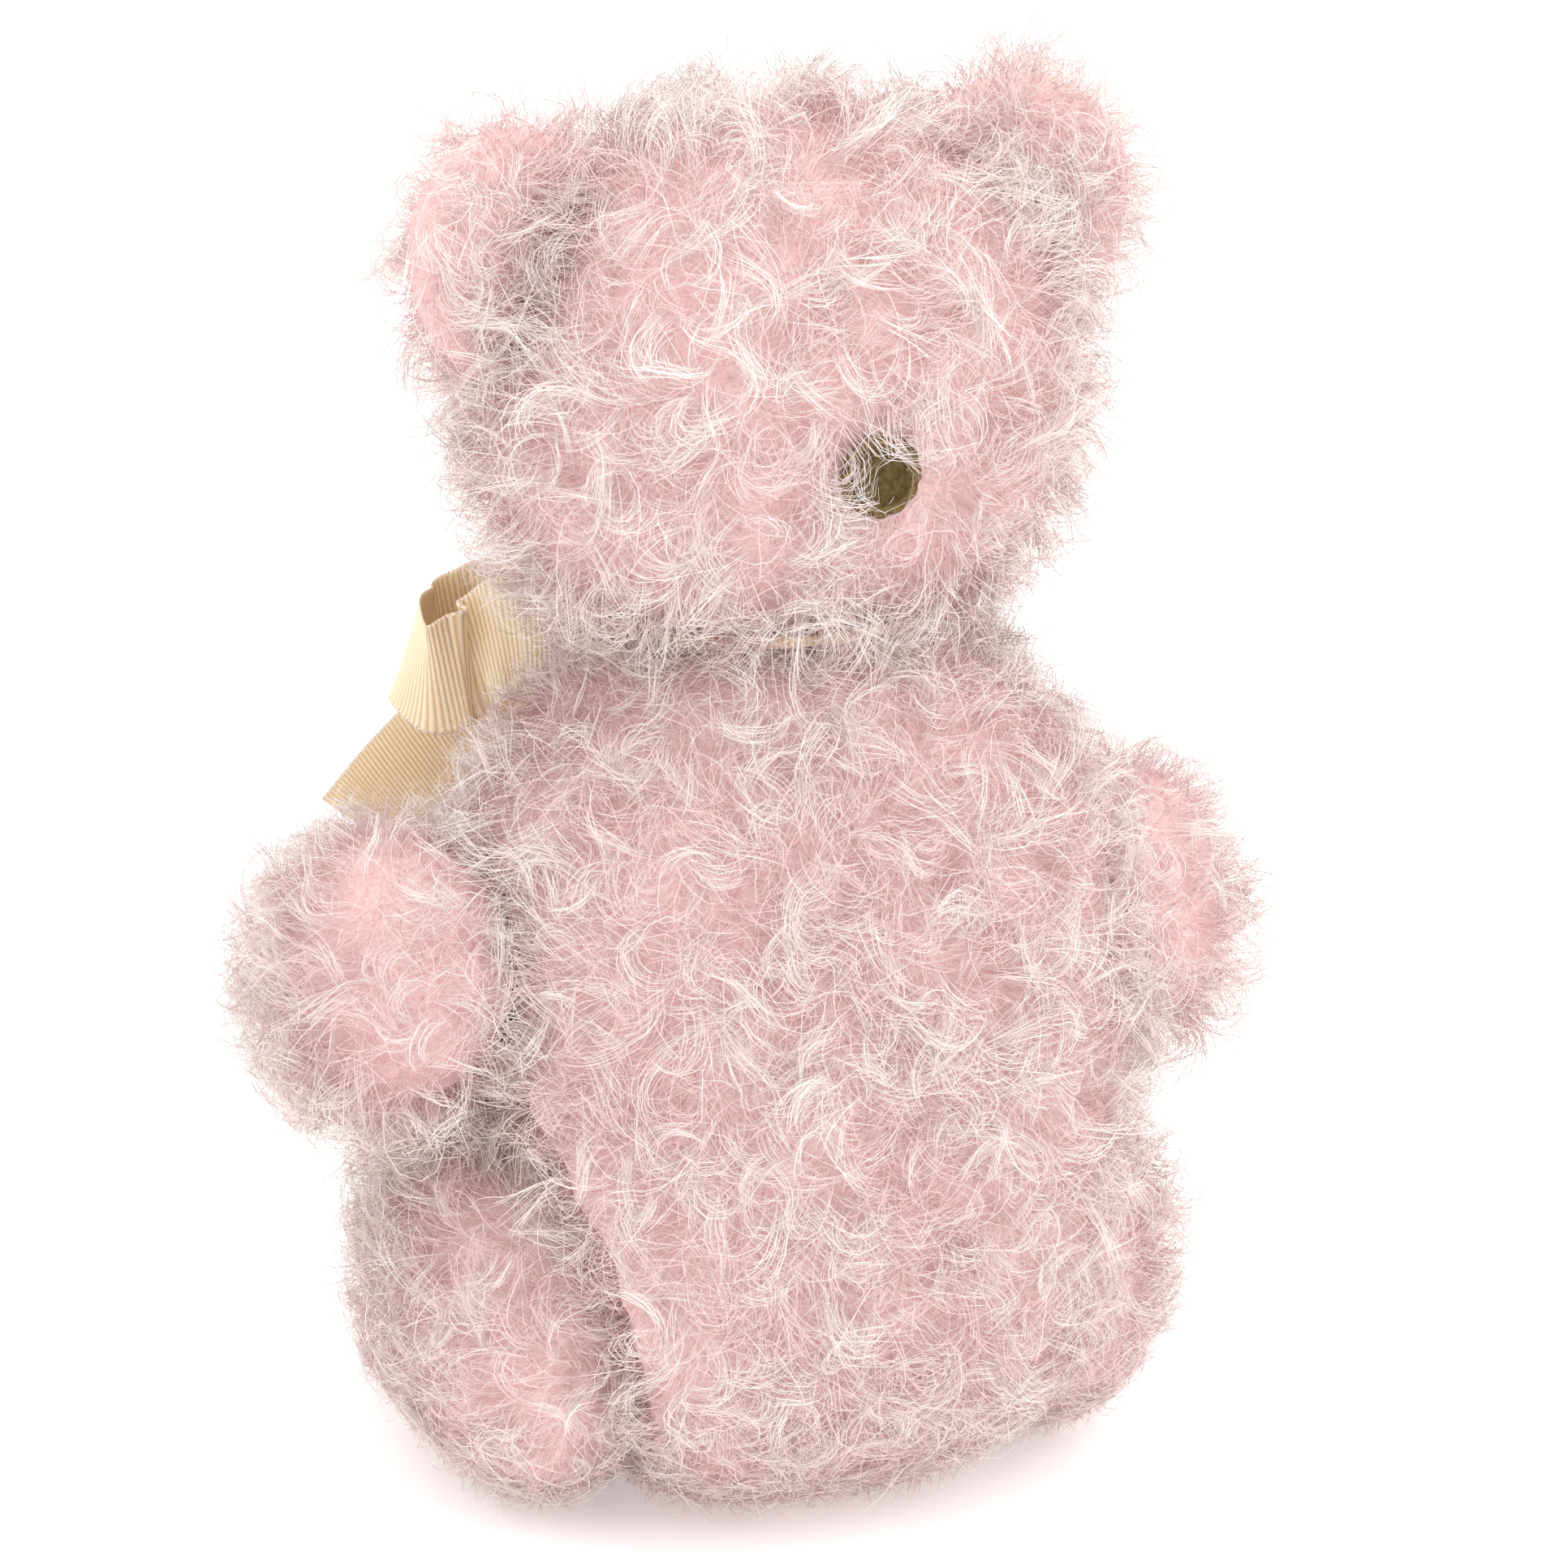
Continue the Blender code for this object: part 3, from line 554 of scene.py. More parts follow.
def room_to_move(points, body):
    """From 0, held by a joint face or the floor, to 1, free."""
    tree = NEIGHBOURS[body]
    near = np.array([tree.find_nearest(point, NEIGHBOUR_REACH)[3] or NEIGHBOUR_REACH
                     for point in points.tolist()])
    return ramp((near - JOINT_HOLD) / HOLD_FADE) * ramp(points[:, 2] / HOLD_FADE)


def start_backing(node):
    """The remeshed cover, a little small, with its Cloth set."""
    obj = new_object(node.replace("_cover", "") + "_backing", outer_surface(node))
    remesh = obj.modifiers.new("remesh", "REMESH")
    remesh.mode = "VOXEL"
    remesh.voxel_size = VOXEL if "ear" not in node else VOXEL * 0.5
    bake_modifiers(obj)
    obj.data.materials.append(WEAVE)
    points = vertices_of(obj.data)
    freedom = room_to_move(points, body_name(node))
    if "ear" in node:
        freedom = freedom * EAR_FREEDOM
    start = points - normals_of(obj.data) * (SHRINK * freedom)[:, None]
    move_vertices(obj.data, start)
    cloth = obj.modifiers.new("cloth", "CLOTH")
    cloth.settings.use_pressure = True
    cloth.settings.uniform_pressure_force = PRESSURE
    cloth.settings.effector_weights.gravity = 0
    cloth.settings.quality = 6
    cloth.point_cache.frame_end = SIM_FRAMES
    return obj, start, freedom


def finish_backing(obj, start, freedom, puffed):
    """Takes the simulated shape, with each point's travel capped."""
    travel = puffed - start
    distance = np.linalg.norm(travel, axis=1, keepdims=True)
    cap = PUFF_CAP * freedom[:, None]
    final = start + travel * np.minimum(1.0, cap / np.maximum(distance, 1e-9))
    obj.modifiers.clear()
    move_vertices(obj.data, final)
    smooth = obj.modifiers.new("smooth", "SUBSURF")
    smooth.levels = smooth.render_levels = 1
    bake_modifiers(obj)
    points = vertices_of(obj.data)
    points[:, 2] = np.maximum(points[:, 2], 0.02 * MM)
    move_vertices(obj.data, points)


def make_backings():
    """All the covers, puffed out in one simulation."""
    started = {node: start_backing(node) for node in COVERS}
    for step in range(1, SIM_FRAMES + 1):
        bpy.context.scene.frame_set(step)
    shapes = {node: vertices_of(evaluated_mesh(one[0])) for node, one in started.items()}
    bpy.context.scene.frame_set(1)
    made = {}
    for node, (obj, start, freedom) in started.items():
        puffed = shapes[node]
        finish_backing(obj, start, freedom, puffed)
        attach(obj, body_name(node))
        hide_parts(node)
        made[node] = obj
    return made


# ---------------------------------------------------------------- pile

# Fields over space that turn the comb direction and tint the locks.
SWIRL = Waves(3, 34 * MM)
TURN = Waves(4, 16 * MM)
TONE = Waves(5, 22 * MM)
TONE_FINE = Waves(6, 9 * MM)


class Skin:
    """A backing's surface: points spread over it, and where a point lies from it."""

    def __init__(self, obj):
        self.points = vertices_of(obj.data)
        self.normals = normals_of(obj.data)
        self.corners = triangles_of(obj.data)
        a, b, c = (self.points[self.corners[:, k]] for k in range(3))
        self.areas = np.linalg.norm(np.cross(b - a, c - a), axis=1) / 2
        self.tree = BVHTree.FromPolygons(self.points.tolist(), self.corners.tolist())

    def scatter(self, per_mm2, source):
        count = int(self.areas.sum() / MM ** 2 * per_mm2)
        share = np.cumsum(self.areas) / self.areas.sum()
        even = (np.arange(count) + source.random(count)) / count
        picked = self.corners[np.minimum(np.searchsorted(share, even), len(share) - 1)]
        first, second = source.random((2, count))
        fold = first + second > 1
        first, second = np.where(fold, 1 - first, first), np.where(fold, 1 - second, second)
        weights = np.stack([1 - first - second, first, second], 1)[:, :, None]
        return (self.points[picked] * weights).sum(1), unit((self.normals[picked] * weights).sum(1))

    def nearest(self, points):
        found = [self.tree.find_nearest(point) for point in points.tolist()]
        return np.array([one[0] for one in found]), np.array([one[1] for one in found])


def ceiling(points, normals, body):
    """How high the pile may stand at each point before it meets a neighbour or the floor."""
    tree = NEIGHBOURS[body]
    aside = unit(np.cross(normals, np.array([0.31, 0.17, 0.93])))
    across = np.cross(normals, aside)
    height = np.full(len(points), OPEN_HEIGHT)
    for lean in (0 * aside, 0.8 * aside, -0.8 * aside, 0.8 * across, -0.8 * across):
        direction = unit(normals + lean)
        origin = points + normals * 0.2 * MM
        for i, (start, ray) in enumerate(zip(origin.tolist(), direction.tolist())):
            gap = tree.ray_cast(start, ray, CEILING_REACH)[3]
            if gap is not None:
                height[i] = min(height[i], gap)
    neck = np.array(neck_joint()["pos_m"])
    from_axis = np.linalg.norm(points[:, :2] - neck[:2], axis=1)
    in_crease = np.abs(points[:, 2] - neck[2]) < CREASE_HALF_HEIGHT
    in_crease &= from_axis > CREASE_INNER_RADIUS
    height = np.where(in_crease, np.maximum(height, CREASE_PILE), height)
    down = np.maximum(-normals[:, 2], 1e-3)
    return np.minimum(height, np.maximum(points[:, 2], 0) / down)


def comb_direction(points, normals):
    """The pile's general lie: down, thrown into swirls."""
    down = np.array([0.0, -0.25, -1.0]) - dot(normals, np.array([0.0, -0.25, -1.0])) * normals
    down = unit(down + 1e-4)
    aside = np.cross(normals, down)
    angle = 1.9 * SWIRL.at(points) + 0.8 * TURN.at(points)
    return unit(down * np.cos(angle)[:, None] + aside * np.sin(angle)[:, None])


def grow(skin, roots, normals, heading, length, curl, wave, lean, limit, segments):
    """Paths that rise from the roots, curl over, and keep between the skin and limit.

    lean is each path's tilt from the normal at its root and at its tip. Close to the floor the
    limit falls, so that the pile is pressed flat under the bear.
    """
    step = (length / segments)[:, None]
    place, normal, tangent = roots.copy(), normals.copy(), heading.copy()
    path = [place]
    for k in range(segments):
        share = (k + 0.5) / segments
        tilt = (lean[0] + (lean[1] - lean[0]) * share)[:, None]
        turn = (curl * step[:, 0] + wave[0] * np.cos(2 * math.pi * share * 1.1 + wave[1]))[:, None]
        aside = np.cross(normal, tangent)
        tangent = unit(tangent * np.cos(turn) + aside * np.sin(turn))
        place = place + (normal * np.cos(tilt) + tangent * np.sin(tilt)) * step
        below, facing = skin.nearest(place)
        height = dot(place - below, facing)
        low = np.maximum(limit, 0.45 * MM)[:, None]
        low = np.minimum(low, 0.6 * MM + 0.25 * np.maximum(place[:, 2:], 0))
        capped = np.clip(height, 0.3 * MM, low)
        place = place + facing * (capped - height)
        normal = unit(normal + 0.7 * facing)
        tangent = unit(tangent - dot(tangent, normal) * normal)
        path.append(place)
    return np.stack(path, 1)


def turned(vectors, axes, angles):
    """Vectors (strand, step, xyz) turned about each strand's own axis."""
    c, s = np.cos(angles)[:, None, None], np.sin(angles)[:, None, None]
    axes = axes[:, None, :]
    along = (vectors * axes).sum(-1, keepdims=True)
    return vectors * c + np.cross(np.broadcast_to(axes, vectors.shape), vectors) * s + (
        axes * along * (1 - c))


def strand_mesh(name, paths, widths, facing, tone):
    """Flat tapering strands along paths, as one mesh, with UV (along, tone)."""
    count, levels = paths.shape[:2]
    along = np.gradient(paths, axis=1)
    wide = np.cross(along, np.broadcast_to(facing[:, None, :], along.shape))
    wide = unit(wide + 1e-9)
    share = np.linspace(0, 1, levels)
    taper = np.interp(share, [0, 0.3, 0.75, 1], [0.7, 1.0, 0.8, 0.15])
    half = wide * (widths[:, None] * taper)[:, :, None] / 2
    points = np.stack([paths - half, paths + half], 2).reshape(-1, 3)
    low, high = (np.array(corner) for corner in CAD_BOX)
    points = np.clip(points, low - PILE_PROUD, high + PILE_PROUD)
    points[:, 2] = np.maximum(points[:, 2], 0.15 * MM)
    base = (np.arange(count) * levels * 2)[:, None] + 2 * np.arange(levels - 1)[None, :]
    quads = np.stack([base, base + 1, base + 3, base + 2], -1).reshape(-1, 4)
    row = np.floor(np.clip(tone, 0, 0.999) * TONE_ROWS) / TONE_ROWS
    edge = np.array([0.12, 0.88]) / TONE_ROWS
    u = np.broadcast_to(share[None, :, None], (count, levels, 2))
    v = np.broadcast_to(row[:, None, None] + edge, (count, levels, 2))
    return quad_mesh(name, points, quads, np.stack([u, v], -1).reshape(-1, 2), "OFBake")


def lay_strands(name, body, paths, widths, facing, tone):
    """Strands on a body, in as many pieces as keep each one's triangles under the limit."""
    triangles = len(paths) * (paths.shape[1] - 1) * 2
    parts = math.ceil(triangles / PIECE_TRIANGLES)
    for index, chosen in enumerate(np.array_split(np.arange(len(paths)), parts)):
        label = name if parts == 1 else f"{name}_{index + 1}"
        mesh = strand_mesh(label, paths[chosen], widths[chosen], facing[chosen], tone[chosen])
        piece = new_object(label, mesh, PILE)
        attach(piece, body)


def around(count, low, high, source):
    """count seeded numbers from low to high."""
    return source.uniform(low, high, count)


def push_aside(paths, keep_clear, source):
    """Parts the strands round the button, eyes, nose and mouth, apart from a few that cross."""
    for middle, axis, radius in keep_clear:
        offset = paths - middle
        height = (offset * axis).sum(-1, keepdims=True)
        aside = offset - height * axis
        distance = np.linalg.norm(aside, axis=-1, keepdims=True)
        close = (distance < radius) & (np.abs(height) < CLEARING_DEPTH)
        close &= source.random((len(paths), 1, 1)) > CROSSING_SHARE
        out = middle + height * axis + aside / np.maximum(distance, 1e-9) * radius * (
            0.92 + 0.16 * source.random((len(paths), 1, 1)))
        paths = np.where(close, out, paths)
    return paths


def make_pile(node, obj, density, length_of, keep_clear=()):
    """The pile on one backing: locks that curl together over a soft undercoat."""
    body = body_name(node)
    skin = Skin(obj)
    source = np.random.default_rng(COVERS.index(node) + 100)
    centres, out = skin.scatter(LOCKS_PER_MM2 * density, source)
    limit = ceiling(centres, out, body)
    kept = limit > 0.4 * MM
    centres, out, limit = centres[kept], out[kept], limit[kept]
    count = len(centres)
    free = ramp(limit / (11 * MM))
    spread = length_of(centres)
    tight = source.random(count) < WISP_SHARE
    length = PILE_LENGTH * spread * (0.45 + 0.55 * free) * around(count, 0.8, 1.15, source)
    length = length * np.where(tight, 1.0, 0.85)
    heading = comb_direction(centres, out)
    heading = turned(heading[:, None], out, around(count, -0.7, 0.7, source))[:, 0]
    curl = np.sign(TURN.at(centres * 1.3) + around(count, -0.6, 0.6, source))
    curl = curl * around(count, *LOCK_CURL, source)
    wave = (around(count, -0.45, 0.45, source), around(count, 0, 6.28, source))
    root_lean = PRESSED_LEAN - (PRESSED_LEAN - FREE_LEAN) * free
    tip_lean = np.where(tight, WISP_TIP_LEAN, LOOSE_TIP_LEAN)
    lean = (np.radians(root_lean + around(count, -8, 8, source)),
            np.radians(tip_lean + around(count, -14, 18, source)))
    guides = grow(skin, centres, out, heading, length, curl, wave, lean,
                  np.minimum(limit, np.where(tight, 1.0, 0.88) * PILE_PROUD), TOP_SEGMENTS)
    finder = KDTree(count)
    for i, centre in enumerate(centres.tolist()):
        finder.insert(centre, i)
    finder.balance()

    def in_locks(per_mm2):
        roots, normals = skin.scatter(per_mm2 * density, source)
        found = [finder.find(root) for root in roots.tolist()]
        lock = np.array([one[1] for one in found])
        near = np.array([one[2] for one in found]) < LOCK_REACH
        return roots[near], normals[near], lock[near]

    # Wisps, which stand on top, are paler than loose locks: partly the locks' own tone, partly a
    # painted highlight.
    shade = np.where(tight, 0.80, 0.42) + 0.12 * TONE.at(centres) + 0.06 * TONE_FINE.at(centres)
    shade = shade + around(count, -0.08, 0.08, source)
    roots, normals, lock = in_locks(STRANDS_PER_MM2)
    paths = lock_strands(guides, centres, roots, normals, lock, tight[lock], source)
    paths = push_aside(paths, keep_clear, source)
    facing = unit(normals + source.normal(0, 0.45, normals.shape))
    widths = STRAND_WIDTH * around(len(roots), 0.75, 1.25, source)
    tone = shade[lock] + source.normal(0, 0.05, len(roots))
    lay_strands(node.replace("_cover", "") + "_pile", body, paths, widths, facing, tone)

    roots, normals, lock = in_locks(UNDERCOAT_PER_MM2)
    under = undercoat(skin, roots, normals, limit[lock], length_of(roots), source)
    under = push_aside(under, keep_clear, source)
    facing = unit(normals + source.normal(0, 0.6, normals.shape))
    widths = STRAND_WIDTH * around(len(roots), 0.9, 1.5, source)
    # The undercoat takes a deeper tone than its lock: painted shade low in the pile.
    tone = 0.5 * shade[lock] + 0.10 + source.normal(0, 0.06, len(roots))
    lay_strands(node.replace("_cover", "") + "_undercoat", body, under, widths, facing, tone)


def lock_strands(guides, centres, roots, normals, lock, tight, source):
    """Each strand follows its lock, drawn in to it towards the tip, with its own frizz."""
    count, levels = len(roots), guides.shape[1]
    shape = guides[lock] - guides[lock][:, :1]
    stray = source.random(count) < STRAY_SHARE
    twist = source.normal(0, 1, count) * np.where(stray, 1.1, np.where(tight, 0.12, 0.55))
    shape = turned(shape, normals, twist)
    size = np.where(stray, around(count, 0.9, 1.25, source), around(count, 0.72, 1.08, source))
    share = np.linspace(0, 1, levels)[None, :, None]
    gather = np.where(tight & ~stray, around(count, 0.6, 0.92, source), 0.15)[:, None, None]
    gather = gather * ramp(share * 1.3)
    offset = (centres[lock] - roots)[:, None, :] * gather
    paths = roots[:, None, :] + shape * size[:, None, None] + offset
    first, second = unit(source.normal(size=(2, count, 3)))
    phase = source.uniform(0, 2 * math.pi, (2, count, 1, 1))
    turns = source.uniform(0.6, 1.7, (count, 1, 1))
    frizz = np.where(stray, FRIZZ_OF_STRAY, np.where(tight, FRIZZ_OF_WISP, FRIZZ_OF_LOOSE))
    amount = frizz[:, None, None] * MM * share
    paths = paths + amount * (first[:, None] * np.sin(2 * math.pi * turns * share + phase[0])
                              + second[:, None] * np.cos(2 * math.pi * turns * share + phase[1]))
    return paths


def undercoat(skin, roots, normals, limit, spread, source):
    """Short woolly strands that lie every way."""
    count = len(roots)
    free = ramp(limit / (8 * MM))
    length = UNDERCOAT_LENGTH * spread * (0.4 + 0.6 * free) * around(count, 0.7, 1.2, source)
    aside = unit(np.cross(normals, unit(source.normal(size=(count, 3)))))
    tilt = np.radians(75 - 45 * free + around(count, -10, 20, source))[:, None]
    direction = normals * np.cos(tilt) + aside * np.sin(tilt)
    bend = np.cross(normals, aside) * around(count, -0.5, 0.5, source)[:, None] - normals * 0.25
    share = np.linspace(0, 1, UNDER_SEGMENTS + 1)[None, :, None]
    reach = length[:, None, None]
    return roots[:, None] + direction[:, None] * reach * share + bend[:, None] * reach * share ** 2


# ---------------------------------------------------------------- ribbon bow

# Each stretch's middle line, in mm, and the direction that its width leans to at each point.
LOOP_PATH = [(13, -58, 165), (34, -71, 165), (42, -75, 163), (50, -75, 160), (57, -66, 160),
             (56, -55, 156), (50, -52, 158), (46, -54, 160), (41, -50, 165), (31, -45, 168),
             (16, -51, 166)]
LOOP_LEAN = [(0.1, 0.1, 1), (0, 0.2, 1), (0, 0.28, 1), (-0.1, 0.3, 1), (-0.2, 0.4, 1),
             (0, 0.35, 1), (-0.1, 0, 1), (-0.15, -0.15, 1), (-0.15, 0, 1), (-0.25, 0, 1),
             (0, 0, 1)]
TAIL_PATH = [(12, -61, 159), (24, -73, 151), (36, -84, 141), (48, -95, 126), (58, -105, 110)]
TAIL_LEAN = [(0.35, 0, 1)] * 5
RIGHT_TAIL_PATH = [(1, -63, 156), (-8, -69, 147), (-17, -74, 133), (-24, -77, 117),
                   (-30, -77, 102)]
RIGHT_TAIL_LEAN = [(1, 0, -0.3)] * 5
# The share of the lean's slope along the path that is taken out, so the strip stays square.
SQUARENESS = 0.6
RIGHT_LOOP_SHARE = 0.88


def smooth_path(rows, step):
    """Points at even steps along a smooth curve through rows, with the rows' other numbers."""
    rows = np.array(rows, float)
    padded = np.vstack([2 * rows[0] - rows[1], rows, 2 * rows[-1] - rows[-2]])
    pieces = []
    for i in range(len(rows) - 1):
        a, b, c, d = padded[i:i + 4]
        t = np.linspace(0, 1, 60, endpoint=False)[:, None]
        pieces.append(b + 0.5 * t * (c - a + t * (2 * a - 5 * b + 4 * c - d
                                                  + t * (3 * (b - c) + d - a))))
    fine = np.vstack(pieces + [rows[-1:]])
    steps = np.linalg.norm(np.diff(fine[:, :3], axis=0), axis=1)
    run = np.concatenate([[0], np.cumsum(steps)])
    count = max(int(run[-1] / step), 8)
    goal = np.linspace(0, run[-1], count + 1)
    return np.stack([np.interp(goal, run, column) for column in fine.T], 1), run[-1]


def ribbon(name, rows, leans, gathered, notch=0.0, wave=0.0):
    """A strip of grosgrain along rows, drawn into pleats at the gathered ends.

    notch is the depth of the cut at its far end, and wave how far its edges sway.
    """
    table = np.hstack([np.array(rows, float) * MM, np.array(leans, float)])
    table, length = smooth_path(table, RIB_PITCH / 4)
    path, lean = table[:, :3], unit(table[:, 3:])
    count, across = len(path), 24
    along = unit(np.gradient(path, axis=0))
    wide = unit(lean - along * dot(along, lean) * SQUARENESS)
    normal = unit(np.cross(along, wide))
    run = np.linspace(0, length, count)
    tight = np.zeros(count)
    for end in gathered:
        away = run if end == "start" else length - run
        tight = np.maximum(tight, 1 - ramp(away / GATHER_LENGTH))
    v = np.linspace(-1, 1, across + 1)
    shift = np.zeros((count, across + 1))
    if notch:
        near_end = ramp((run - length + NOTCH_REACH) / NOTCH_REACH)
        shift = -notch * (1 - np.abs(v))[None] * near_end[:, None]
    width = RIBBON_WIDTH / 2 * (1 - 0.55 * tight)
    pleats = PLEAT_DEPTH * tight[:, None] * np.sin(v * 2.5 * math.pi + 0.6)[None]
    cup = CUP_DEPTH * (v ** 4)[None] + wave * np.sin(run / (19 * MM))[:, None] * v[None]
    rib = RIB_HEIGHT * np.cos(2 * math.pi * run / RIB_PITCH)[:, None] * (np.abs(v) < 0.93)[None]
    cord = CORD_HEIGHT * np.cos(2 * math.pi * run / (RIB_PITCH * 0.5))[:, None]
    cord = cord * (np.abs(v) > 0.99)[None]
    lift = pleats + cup + rib + cord
    points = (path[:, None] + wide[:, None] * (width[:, None] * v[None])[..., None]
              + normal[:, None] * lift[..., None] + along[:, None] * shift[..., None])
    index = np.arange(count * (across + 1)).reshape(count, -1)
    quads = np.stack([index[:-1, :-1], index[:-1, 1:], index[1:, 1:], index[1:, :-1]], -1)
    u = np.broadcast_to((run / RIBBON_WIDTH)[:, None], shift.shape)
    uvs = np.stack([u, np.broadcast_to((v / 2 + 0.5)[None], shift.shape)], -1).reshape(-1, 2)
    mesh = quad_mesh(name, points.reshape(-1, 3), quads.reshape(-1, 4), uvs)
    strip = new_object(name, mesh, RIBBON)
    thick = strip.modifiers.new("thickness", "SOLIDIFY")
    thick.thickness = RIBBON_THICKNESS
    thick.offset = 0
    return strip, length


def finish_ribbon(strip, node, body):
    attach(strip, body)
    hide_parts(node)


def make_bow():
    """Two loops and two tails that meet in the knot, then the knot and the neckband."""
    across = [(-RIGHT_LOOP_SHARE * x, y, z) for x, y, z in LOOP_PATH]
    leans = [(-x, y, z) for x, y, z in LOOP_LEAN]
    body = body_name("left_bow_loop")
    for side, *line in (("left", LOOP_PATH, LOOP_LEAN), ("right", across, leans)):
        strip, length = ribbon(side + "_loop_ribbon", *line, ("start", "end"))
        finish_ribbon(strip, side + "_bow_loop", body)
    for side, *line in (("left", TAIL_PATH, TAIL_LEAN),
                        ("right", RIGHT_TAIL_PATH, RIGHT_TAIL_LEAN)):
        strip, length = ribbon(side + "_tail_ribbon", *line, ("start",), NOTCH_DEPTH, TAIL_WAVE)
        finish_ribbon(strip, side + "_bow_tail", body)
    make_knot()
    make_neckband()


def make_knot():
    """The ribbon's wrap round the middle of the bow, creased from side to side."""
    low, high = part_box("bow_knot")
    middle, size = np.array((low + high) / 2), np.array(high - low) / 2
    rows, steps = 26, 96
    turn = np.linspace(0, 2 * math.pi, steps, endpoint=False)
    tall = np.linspace(-1, 1, rows)
    bulge = np.sqrt(np.maximum(1 - 0.72 * tall ** 2, 0.0))
    crease = 1 + 0.09 * np.sin(tall * 11)[:, None] * np.cos(turn + 0.5)[None]
    crease = crease + 0.012 * np.cos(steps / 3 * turn)[None]
    x = np.cos(turn)[None] * bulge[:, None] * crease * size[0] * 0.97
    y = np.sin(turn)[None] * bulge[:, None] * crease * size[1] * 0.97
    z = np.broadcast_to(tall[:, None] * size[2] * 0.96, x.shape)
    points = np.stack([x, y, z], -1).reshape(-1, 3) + middle
    index = np.arange(rows * steps).reshape(rows, steps)
    after = np.roll(index, -1, axis=1)
    quads = np.stack([index[:-1], after[:-1], after[1:], index[1:]], -1).reshape(-1, 4)
    u = np.broadcast_to((turn / (2 * math.pi) * 1.4)[None], x.shape)
    v = np.broadcast_to((tall / 2 + 0.5)[:, None], x.shape)
    knot = new_object("knot_ribbon", quad_mesh("knot_ribbon", points, quads,
                                               np.stack([u, v], -1).reshape(-1, 2)), RIBBON)
    thick = knot.modifiers.new("thickness", "SOLIDIFY")
    thick.thickness = RIBBON_THICKNESS
    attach(knot, body_name("bow_knot"))
    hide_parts("bow_knot")


# The neckband's inset from the CAD band, its zigzag folds, and the ribs round it.
BAND_INSET = 5.3 * MM
BAND_STEPS = 340
BAND_FOLDS = 11
BAND_RIBS = 205
BAND_RIB_HEIGHT = 0.07 * MM


def make_neckband():
    """The ribbon round the neck, folded small in the crease under the head."""
    low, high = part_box("neck_ribbon")
    middle = middle_of("neck_ribbon")
    axis = unit(np.array(neck_joint()["axis"], float))
    first = unit(np.cross(axis, [0.0, 1.0, 0.0]))
    second = np.cross(axis, first)
    radius = (high.y - low.y) / 2 - BAND_INSET
    turn = np.linspace(0, 2 * math.pi, BAND_STEPS, endpoint=False)
    folds = BAND_FOLDS
    share = np.linspace(0, folds, folds * 5 + 1)
    stroke = np.abs((share % 2) - 1) * 2 - 1
    inward = (share / folds - 0.5) * 2.4 * MM
    upward = stroke * 1.0 * MM
    wobble = 0.25 * MM * np.sin(turn * 9)[:, None] * np.sin(share * 1.7)[None]
    out = radius + inward[None] + wobble
    rib = BAND_RIB_HEIGHT * np.cos(turn * BAND_RIBS)[:, None]
    round_it = first[None] * np.cos(turn)[:, None] + second[None] * np.sin(turn)[:, None]
    points = (middle + round_it[:, None] * (out + rib)[..., None]
              + axis * (upward[None] + wobble)[..., None])
    index = np.arange(points.shape[0] * points.shape[1]).reshape(points.shape[:2])
    after = np.roll(index, -1, axis=0)
    quads = np.stack([index[:, :-1], index[:, 1:], after[:, 1:], after[:, :-1]], -1).reshape(-1, 4)
    length = 2 * math.pi * radius
    u = np.broadcast_to((turn / (2 * math.pi) * length / RIBBON_WIDTH)[:, None], index.shape)
    v = np.broadcast_to((share / folds)[None], index.shape)
    band = new_object("neckband_ribbon", quad_mesh("neckband_ribbon", points.reshape(-1, 3), quads,
                                                   np.stack([u, v], -1).reshape(-1, 2)), RIBBON)
    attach(band, body_name("neck_ribbon"))
    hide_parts("neck_ribbon")



# ---------------------------------------------------------------- button, face and pads

# The button's outline from the middle of its face, over the rim and down its post:
# (share of the radius, height over the face in mm).
BUTTON_PROFILE = [(0.0, 0.05), (0.30, 0.02), (0.52, -0.06), (0.60, -0.32), (0.66, -0.42),
                  (0.72, -0.30), (0.76, 0.05), (0.82, 0.22), (0.90, 0.20), (0.96, 0.0),
                  (1.0, -0.35), (0.985, -0.75), (0.93, -1.05), (0.80, -1.2), (0.20, -1.25),
                  (0.18, -4.5), (0.0, -4.6)]
BUTTON_STEPS = 192
SCALLOPS = 12


def reworked(node, name, voxel, material, lift):
    """The node's shape remeshed finely, with each point moved out by lift(points)."""
    obj = new_object(name, NODES[node].data.copy())
    obj.data.materials.clear()
    remesh = obj.modifiers.new("remesh", "REMESH")
    remesh.mode = "VOXEL"
    remesh.voxel_size = voxel
    bake_modifiers(obj)
    points, normals = vertices_of(obj.data), normals_of(obj.data)
    moved = points + normals * lift(points)[:, None]
    move_vertices(obj.data, moved)
    obj.data.materials.append(material)
    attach(obj, body_name(node))
    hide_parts(node)
    return obj


